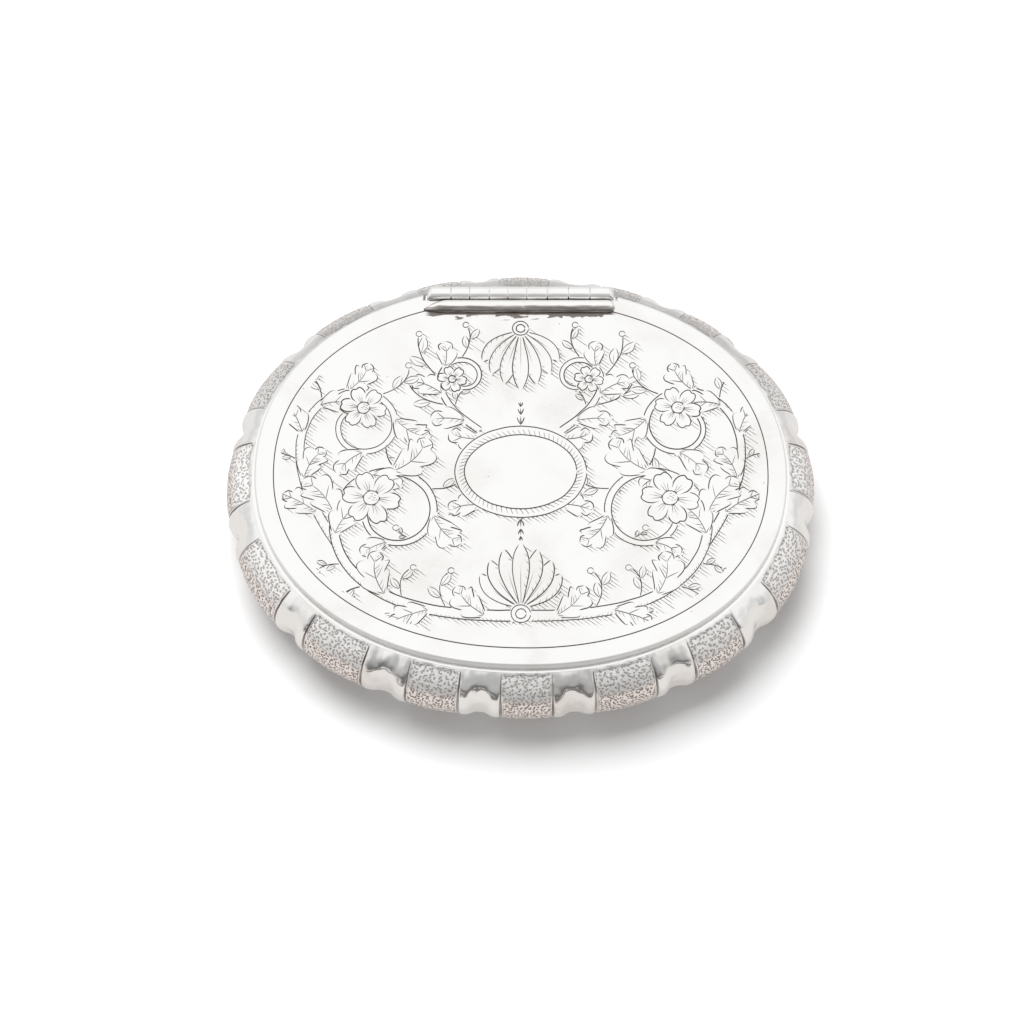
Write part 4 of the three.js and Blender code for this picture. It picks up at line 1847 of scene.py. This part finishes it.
@dataclass
class LidSheet:
    """The lid's flat sheet: a rounded edge, a notch for the hinge, and the engraving on top."""

    oval: Oval
    engraving: Engraving
    finish: EngravedSilver
    notch_low: Vector
    notch_high: Vector
    edge_radius: float = 0.45 * MM
    edge_steps: int = 9
    join_distance: float = 0.002 * MM
    count: int = 360

    def blank(self) -> Mesh:
        """The plain sheet before it is engraved."""
        low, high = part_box("lid_plate")
        edge = rounding(high.z, self.edge_radius, self.edge_steps, True)
        plate = drawn_to_oval(self.oval, [(0.0, low.z), *edge], False, self.count)
        return cut_by(smoothed(plate), box_mesh(self.notch_low, self.notch_high))

    def build(self) -> Mesh:
        """Cuts the engraving into the blank's top face.

        Returns:
            The mesh, with the layer "cut" for the finish.
        """
        mesh = self.blank()
        top = max(mesh.faces, key=lambda face: (face.normal.z > 0.99) * face.calc_area())
        outline = [vertex.co.copy() for vertex in top.verts]
        height = outline[0].z
        bmesh.ops.delete(mesh, geom=[top], context="FACES_ONLY")
        corners, shares, triangles = self.engraving.face(outline)
        cuts = mesh.verts.layers.float.new("cut")
        vertices = []
        for corner, share in zip(corners, shares):
            vertex = mesh.verts.new(corner + UP * height)
            vertex[cuts] = share
            vertices.append(vertex)
        for triangle in triangles:
            face = mesh.faces.new([vertices[number] for number in triangle])
            face.smooth = False
        edge_line = [vertex for vertex in mesh.verts if vertex.is_boundary or vertex.is_wire]
        bmesh.ops.remove_doubles(mesh, verts=edge_line, dist=self.join_distance)
        mesh.normal_update()
        return mesh

    def make(self, material: bpy.types.Material) -> None:
        """Builds, dresses and seats the sheet."""
        piece = Piece("engraved_sheet", Body.LID, Slot.LID, ("lid_plate",), math.radians(50.0))
        piece.finish(self.build(), material)


# The hinge


@dataclass
class Hinge:
    """Nine knuckles of tube on a pin between two tapered caps, a strip below and a ridge in front."""

    finish: HingeSilver
    ridge_finish: HingeSilver
    tube_radius: float = 1.0 * MM
    bore_radius: float = 0.53 * MM
    knuckle_edge: float = 0.11 * MM
    foot_front: float = 0.3 * MM
    foot_back: float = 0.85 * MM
    cap_tip_radius: float = 0.25 * MM
    cap_taper: float = 1.8
    cap_lean: float = 0.85
    cap_steps: int = 8
    ridge_radius: float = 1.0 * MM
    ridge_left_taper: float = 3.4 * MM
    ridge_right_taper: float = 1.0 * MM
    ridge_tip_radius: float = 0.2 * MM
    ridge_lean: float = 0.6
    ridge_setback: float = 0.12 * MM
    ridge_right_gap: float = 0.3 * MM
    ridge_wear: float = 0.02 * MM
    ridge_wear_size: float = 1.6 * MM
    ridge_steps: int = 150
    nick_place: float = 0.35 * MM
    nick_width: float = 0.12 * MM
    nick_depth: float = 0.09 * MM
    nick_heights: Pair = (0.6 * MM, 0.95 * MM)
    strip_edge: float = 0.06 * MM
    knuckle_count: int = 9
    arc_steps: int = 40

    def __post_init__(self) -> None:
        """Reads the hinge's line from the joint."""
        self.axis = Vector(frame["joints"][0]["pos_m"])

    def body_outline(self) -> list[Vector]:
        """The outline of a knuckle on the body, seen along X: the tube and its foot.

        Returns:
            The points in turn, about the pin's line.
        """
        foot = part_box("hinge_strip")[1].z - self.axis.z
        start = -math.acos(self.foot_back / self.tube_radius)
        end = math.pi + math.acos(self.foot_front / self.tube_radius)
        corners = [Vector((0.0, -self.foot_front, foot)), Vector((0.0, self.foot_back, foot))]
        return self.tube_arc(start, end) + corners

    def lid_outline(self) -> list[Vector]:
        """The outline of a knuckle on the lid, seen along X: the tube and its web to the sheet.

        Returns:
            The points in turn, about the pin's line.
        """
        sheet_low, sheet_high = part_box("lid_plate")
        low, high = sheet_low.z - self.axis.z, sheet_high.z - self.axis.z
        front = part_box("hinge_knuckle_2")[0].y - self.axis.y
        start = -math.pi + math.asin(-low / self.tube_radius)
        end = math.pi + math.asin(-high / self.tube_radius)
        corners = [Vector((0.0, front, high)), Vector((0.0, front, low))]
        return self.tube_arc(start, end) + corners

    def tube_arc(self, start: float, end: float) -> list[Vector]:
        """Points along the tube's outside between two angles, 0 towards the back and upwards."""
        angles = [start + (end - start) * step / self.arc_steps for step in range(self.arc_steps + 1)]
        return [Vector((0.0, math.cos(a), math.sin(a))) * self.tube_radius for a in angles]

    def knuckle(self, number: int) -> Mesh:
        """One knuckle: its outline and bore drawn out along X, with eased ends.

        Args:
            number: of the knuckle, from the left. The odd ones are the body's.

        Returns:
            The closed mesh.
        """
        low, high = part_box(f"hinge_knuckle_{number}")
        outline = self.body_outline() if number % 2 else self.lid_outline()
        bore = [
            Vector((0.0, math.cos(a), math.sin(a))) * self.bore_radius
            for a in (math.tau * step / self.arc_steps for step in range(self.arc_steps))
        ]
        mesh = bmesh.new()
        start = self.axis.copy()
        start.x = low.x
        ends: list[list[bmesh.types.BMEdge]] = [[], []]
        for loop in (outline, bore):
            corners = [mesh.verts.new(start + point) for point in loop]
            near = [mesh.edges.new(pair) for pair in zip(corners, corners[1:] + corners[:1])]
            far = bmesh.ops.extrude_edge_only(mesh, edges=near)["geom"]
            moved = [item for item in far if isinstance(item, bmesh.types.BMVert)]
            bmesh.ops.translate(mesh, verts=moved, vec=(high.x - low.x, 0.0, 0.0))
            ends[0] += near
            ends[1] += [
                item for item in far
                if isinstance(item, bmesh.types.BMEdge) and all(v in moved for v in item.verts)
            ]
        for edges in ends:
            bmesh.ops.bridge_loops(mesh, edges=edges)
        rims = [
            edge for edge in ends[0] + ends[1]
            if all((v.co - start).yz.length > self.bore_radius * 1.2 for v in edge.verts)
        ]
        bmesh.ops.recalc_face_normals(mesh, faces=mesh.faces)
        ease_edges(mesh, rims, self.knuckle_edge)
        return mesh

    def cap(self, node: str, side: float) -> Mesh:
        """A rounded cap that closes the tube and tapers towards the front.

        Args:
            node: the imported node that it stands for.
            side: -1 on the left and 1 on the right.

        Returns:
            The closed mesh.
        """
        low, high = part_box(node)
        length = high.x - low.x
        start = low.x if side > 0.0 else high.x
        profile = [(start, 0.0)]
        for step in range(self.cap_steps + 1):
            share = step / self.cap_steps
            profile.append((start + side * length * share, self.tube_radius - self.cap_fall(share)))
        profile.append((start + side * length, 0.0))
        mesh = turned_bar(profile, self.axis, self.arc_steps)
        for vertex in mesh.verts:
            share = min(1.0, max(0.0, abs(vertex.co.x - start) / length))
            vertex.co.y -= self.cap_lean * self.cap_fall(share)
        return mesh

    def cap_fall(self, share: float) -> float:
        """How much thinner than the tube a cap is, at a share of its length."""
        return (self.tube_radius - self.cap_tip_radius) * share**self.cap_taper

    def left_fullness(self, place: float, left: float) -> float:
        """How full the ridge is at a place, from 0 at its left tip to 1 past its left taper."""
        share = min(1.0, max(0.0, (place - left) / self.ridge_left_taper))
        return math.sin(share * math.pi / 2.0) ** 0.9

    def ridge(self) -> Mesh:
        """The half-round ridge, long and pointed on the left and blunt on the right, with old knocks.

        Returns:
            The closed mesh.
        """
        low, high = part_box("hinge_ridge")
        middle = Vector((0.0, (low.y + high.y) / 2.0 + self.ridge_setback, low.z))
        left, right = low.x, high.x - self.ridge_right_gap
        growth = self.ridge_radius - self.ridge_tip_radius
        profile = [(left, 0.0)]
        for step in range(self.ridge_steps + 1):
            along = left + (right - left) * step / self.ridge_steps
            from_right = min(1.0, (right - along) / self.ridge_right_taper)
            fullness = self.left_fullness(along, left) * math.sin(from_right * math.pi / 2.0) ** 0.5
            profile.append((along, self.ridge_tip_radius + growth * fullness))
        profile.append((right, 0.0))
        mesh = turned_bar(profile, middle, self.arc_steps // 2, math.pi)
        for vertex in mesh.verts:
            place = vertex.co.copy()
            lift = place - Vector((place.x, middle.y, middle.z))
            vertex.co.y -= self.ridge_lean * (growth * (1.0 - self.left_fullness(place.x, left)))
            if lift.z < 0.02 * MM or lift.length < 0.1 * MM:
                continue
            spot_on_ridge = Vector((place.x / self.ridge_wear_size, lift.y / MM, lift.z / MM))
            knocks = 0.5 + 0.5 * noise.noise(spot_on_ridge)
            nick = math.exp(-((place.x - self.nick_place) / self.nick_width) ** 2)
            nick *= smooth_step(lift.z, *self.nick_heights)
            vertex.co -= lift.normalized() * (self.ridge_wear * knocks + self.nick_depth * nick)
        return mesh

    def strip(self) -> Mesh:
        """The strip that carries the body's knuckles, with eased edges."""
        mesh = box_mesh(*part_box("hinge_strip"))
        ease_edges(mesh, list(mesh.edges), self.strip_edge)
        return mesh

    def make(self) -> None:
        """Builds, dresses and seats every piece of the hinge."""
        tube, ridge = self.finish.material(), self.ridge_finish.material()
        for number in range(1, self.knuckle_count + 1):
            body = Body.BOX if number % 2 else Body.LID
            piece = Piece(f"knuckle_{number}", body, Slot.HINGE, (f"hinge_knuckle_{number}",))
            piece.finish(smoothed(self.knuckle(number)), tube)
        for name, side in (("left", -1.0), ("right", 1.0)):
            node = f"hinge_cap_{name}"
            piece = Piece(f"{name}_cap", Body.BOX, Slot.HINGE, (node,))
            piece.finish(smoothed(self.cap(node, side)), tube)
        bar = Piece("ridge_bar", Body.LID, Slot.HINGE, ("hinge_ridge",))
        bar.finish(smoothed(self.ridge()), ridge)
        seat = Piece("knuckle_seat", Body.BOX, Slot.HINGE, ("hinge_strip",))
        seat.finish(smoothed(self.strip()), tube)
        pin = frame["nodes"]["hinge_pin"]
        pin.data.materials.clear()
        pin.data.materials.append(tube)
        LOG.info("hinge_pin: the packed pin, dressed")


# The studio


@dataclass(frozen=True)
class Studio:
    """A white table in a bright room that darkens towards the front, one soft lamp, and the camera.

    The grey zone is what the silver mirrors of the room's front: its heights are those of a ray's
    direction. The mirrored lifts are the table's own light in front and behind, as the silver sees it.
    """

    focal_length: float = 127.41
    sensor: float = 36.0
    clipping: Pair = (0.01, 20.0)
    elevation: float = math.radians(64.0)
    camera_place: Vector = Vector((-1.179 * MM, -220.03 * MM, 451.65 * MM))
    light: float = 0.5
    walls: float = 0.76
    wall_heights: Pair = (0.1, 0.6)
    grey: float = 0.5
    grey_core: float = math.radians(45.0)
    grey_edge: float = math.radians(80.0)
    grey_narrowing: float = 1.95
    darkest: float = 0.2
    dark_heights: Pair = (0.06, 0.34)
    floor_half: float = 3.0
    floor_colour: float = 0.85
    table_front: Pair = (-83.0 * MM, -81.0 * MM)
    table_sides: Pair = (70.0 * MM, 105.0 * MM)
    table_back: float = 50.0 * MM
    white_from: Pair = (0.2, 0.6)
    mirrored_floor: float = 0.2
    mirrored_lifts: Pair = (0.53, 0.52)
    lift_colour: Colour = (1.0, 0.95, 0.92)
    lamp_place: Vector = Vector((-0.19, 0.51, 0.96))
    lamp_size: float = 0.9
    lamp_power: float = 17.0

    def camera(self) -> None:
        """The camera at the photograph's angle."""
        data = bpy.data.cameras.new("camera")
        data.lens, data.sensor_width = self.focal_length, self.sensor
        data.clip_start, data.clip_end = self.clipping
        camera = put_in_scene("camera", data)
        camera.location = self.camera_place
        camera.rotation_euler = (math.pi / 2.0 - self.elevation, 0.0, 0.0)
        bpy.context.scene.camera = camera

    def room(self) -> None:
        """The room's light: bright all round, and dark low down in front. The camera sees white."""
        world = bpy.data.worlds.new("room")
        bpy.context.scene.world = world
        world.use_nodes = True
        shader = Shader(world.node_tree)
        way = shader.add("TexCoord", output="Generated")
        _, _, height = shader.parts(way)
        narrow = shader.stretched(way, 0.0, (self.grey_narrowing, 1.0, 1.0))
        narrow = shader.add("VectorMath", {"operation": "NORMALIZE"}, {0: narrow})
        sockets = {0: narrow, 1: FRONT}
        towards = shader.add("VectorMath", {"operation": "DOT_PRODUCT"}, sockets, "Value")
        zone = shader.rise(towards, math.cos(self.grey_edge), math.cos(self.grey_core))
        level = shader.rise(height, *self.dark_heights, self.darkest, self.grey)
        walls = shader.rise(height, *self.wall_heights, self.walls, 1.0)
        front = 1.0 + zone * (level - 1.0)
        mirrored = shader.mirrored()
        direct = shader.ray("Is Camera Ray")
        strength = self.light + (1.0 - self.light) * direct
        strength = strength + mirrored * (walls * front - strength)
        white = (1.0, 1.0, 1.0, 1.0)
        light = shader.add("Background", {}, {"Color": white, "Strength": strength})
        shader.node("OutputWorld", {}, {"Surface": light})

    def table(self) -> None:
        """The white table top, which keeps the object's shadow."""
        mesh = bmesh.new()
        bmesh.ops.create_grid(mesh, x_segments=1, y_segments=1, size=self.floor_half)
        data = as_mesh_data("table_top", mesh)
        material = bpy.data.materials.new("white_table")
        material.use_nodes = True
        shader = Shader(material.node_tree)
        direct = shader.ray("Is Camera Ray")
        mirrored = shader.mirrored()
        x, y, _ = shader.parts(shader.place())
        near = shader.rise(y, *self.table_front)
        near = near.at_least(shader.rise(x.distance_from(0.0), *self.table_sides))
        behind = shader.rise(y, 0.0, self.table_back)
        white = shader.blend(direct, (self.mirrored_floor,) * 3, (self.floor_colour,) * 3)
        white = shader.blend(direct.at_least(near), (0.0,) * 3, white)
        matt = shader.add("BsdfDiffuse", {}, {"Color": white})
        front_lift, back_lift = self.mirrored_lifts
        lift = self.darkest + near * (front_lift + behind * (back_lift - front_lift) - self.darkest)
        colour = shader.blend(direct.at_least(behind), self.lift_colour, (1.0,) * 3)
        near_edge, far_edge = self.white_from
        far = shader.rise(x * x + y * y, near_edge**2, far_edge**2)
        strength = mirrored * lift + direct * far
        lift = shader.add("Emission", {}, {"Color": colour, "Strength": strength})
        both = shader.add("AddShader", {}, {0: matt, 1: lift})
        shader.node("OutputMaterial", {}, {"Surface": both})
        data.materials.append(material)
        table = put_in_scene("table_top", data)

    def lamp(self) -> None:
        """A soft lamp behind on the left, which throws the shadow forwards."""
        data = bpy.data.lights.new("soft_lamp", "AREA")
        data.shape = "SQUARE"
        data.size = self.lamp_size
        data.energy = self.lamp_power
        lamp = put_in_scene("soft_lamp", data)
        lamp.visible_glossy = False
        lamp.location = self.lamp_place
        lamp.rotation_euler = self.lamp_place.to_track_quat("Z", "Y").to_euler()

    def make(self) -> None:
        """Sets the camera, the light and the table."""
        self.camera()
        self.room()
        self.table()
        self.lamp()
        bpy.context.scene.view_settings.view_transform = "Standard"
        LOG.info("studio: camera, room, table and lamp")


def main() -> None:
    """Builds the snuff box and its studio."""
    logging.basicConfig(level=logging.INFO, format="%(message)s")
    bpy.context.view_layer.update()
    oval = Oval()
    ridge_low, ridge_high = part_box("hinge_ridge")
    lid_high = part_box("lid_plate")[1]
    cap_left, cap_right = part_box("hinge_cap_left")[0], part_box("hinge_cap_right")[1]
    notch_gap = 0.25 * MM
    notch_low = Vector((cap_left.x - notch_gap, ridge_high.y + 0.1 * MM, 0.0))
    notch_high = Vector((cap_right.x + notch_gap, 2.0 * lid_high.y, 2.0 * lid_high.z))
    bright = (0.98, 0.977, 0.967)
    lid_silver = EngravedSilver(
        name="engraved_silver", metal=bright, tarnish_share=0.24, solder_front=ridge_low.y,
        solder_half_length=ridge_high.x, top=lid_high.z, notch=Vector((notch_high.x, notch_low.y, 0.0)),
    )
    lid_material = lid_silver.material()
    Studio().make()
    wall_silver = WallSilver(
        name="matted_silver", tarnish_share=0.45, roughness=0.08, wave_size=1.6 * MM, wave_depth=0.05 * MM,
        seam=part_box("mouth_rim")[0].z,
    )
    Wall(oval, wall_silver).make()
    PlainRings(
        oval,
        Silver(name="base_silver", tarnish_share=0.6),
        Silver(name="rim_silver", metal=bright, tarnish_share=0.08),
        lid_material,
        notch_low,
        notch_high,
    ).make()
    engraving = Engraving(oval, ridge_low.y, ridge_high.x)
    LidSheet(oval, engraving, lid_silver, notch_low, notch_high).make(lid_material)
    Hinge(
        # The knuckles' front and foot are darkened: painted shade with some dirt and tarnish.
        HingeSilver(
            name="hinge_silver", metal=bright, tarnish_share=0.12, roughness=0.1, wave_depth=0.008 * MM,
            dirt=(0.45, 0.42, 0.4), dirt_and_shade_share=0.8,
            front=ridge_high.y + 0.3 * MM, foot=lid_high.z - 0.28 * MM,
        ),
        # The ridge's front half and foot are darkened: painted shade with old dirt.
        HingeSilver(
            name="ridge_silver", metal=bright, tarnish_share=0.12, roughness=0.1, wave_depth=0.01 * MM,
            front=(ridge_low.y + ridge_high.y) / 2.0 - 0.16 * MM, foot=lid_high.z,
        ),
    ).make()


if __name__ == "__main__":
    main()
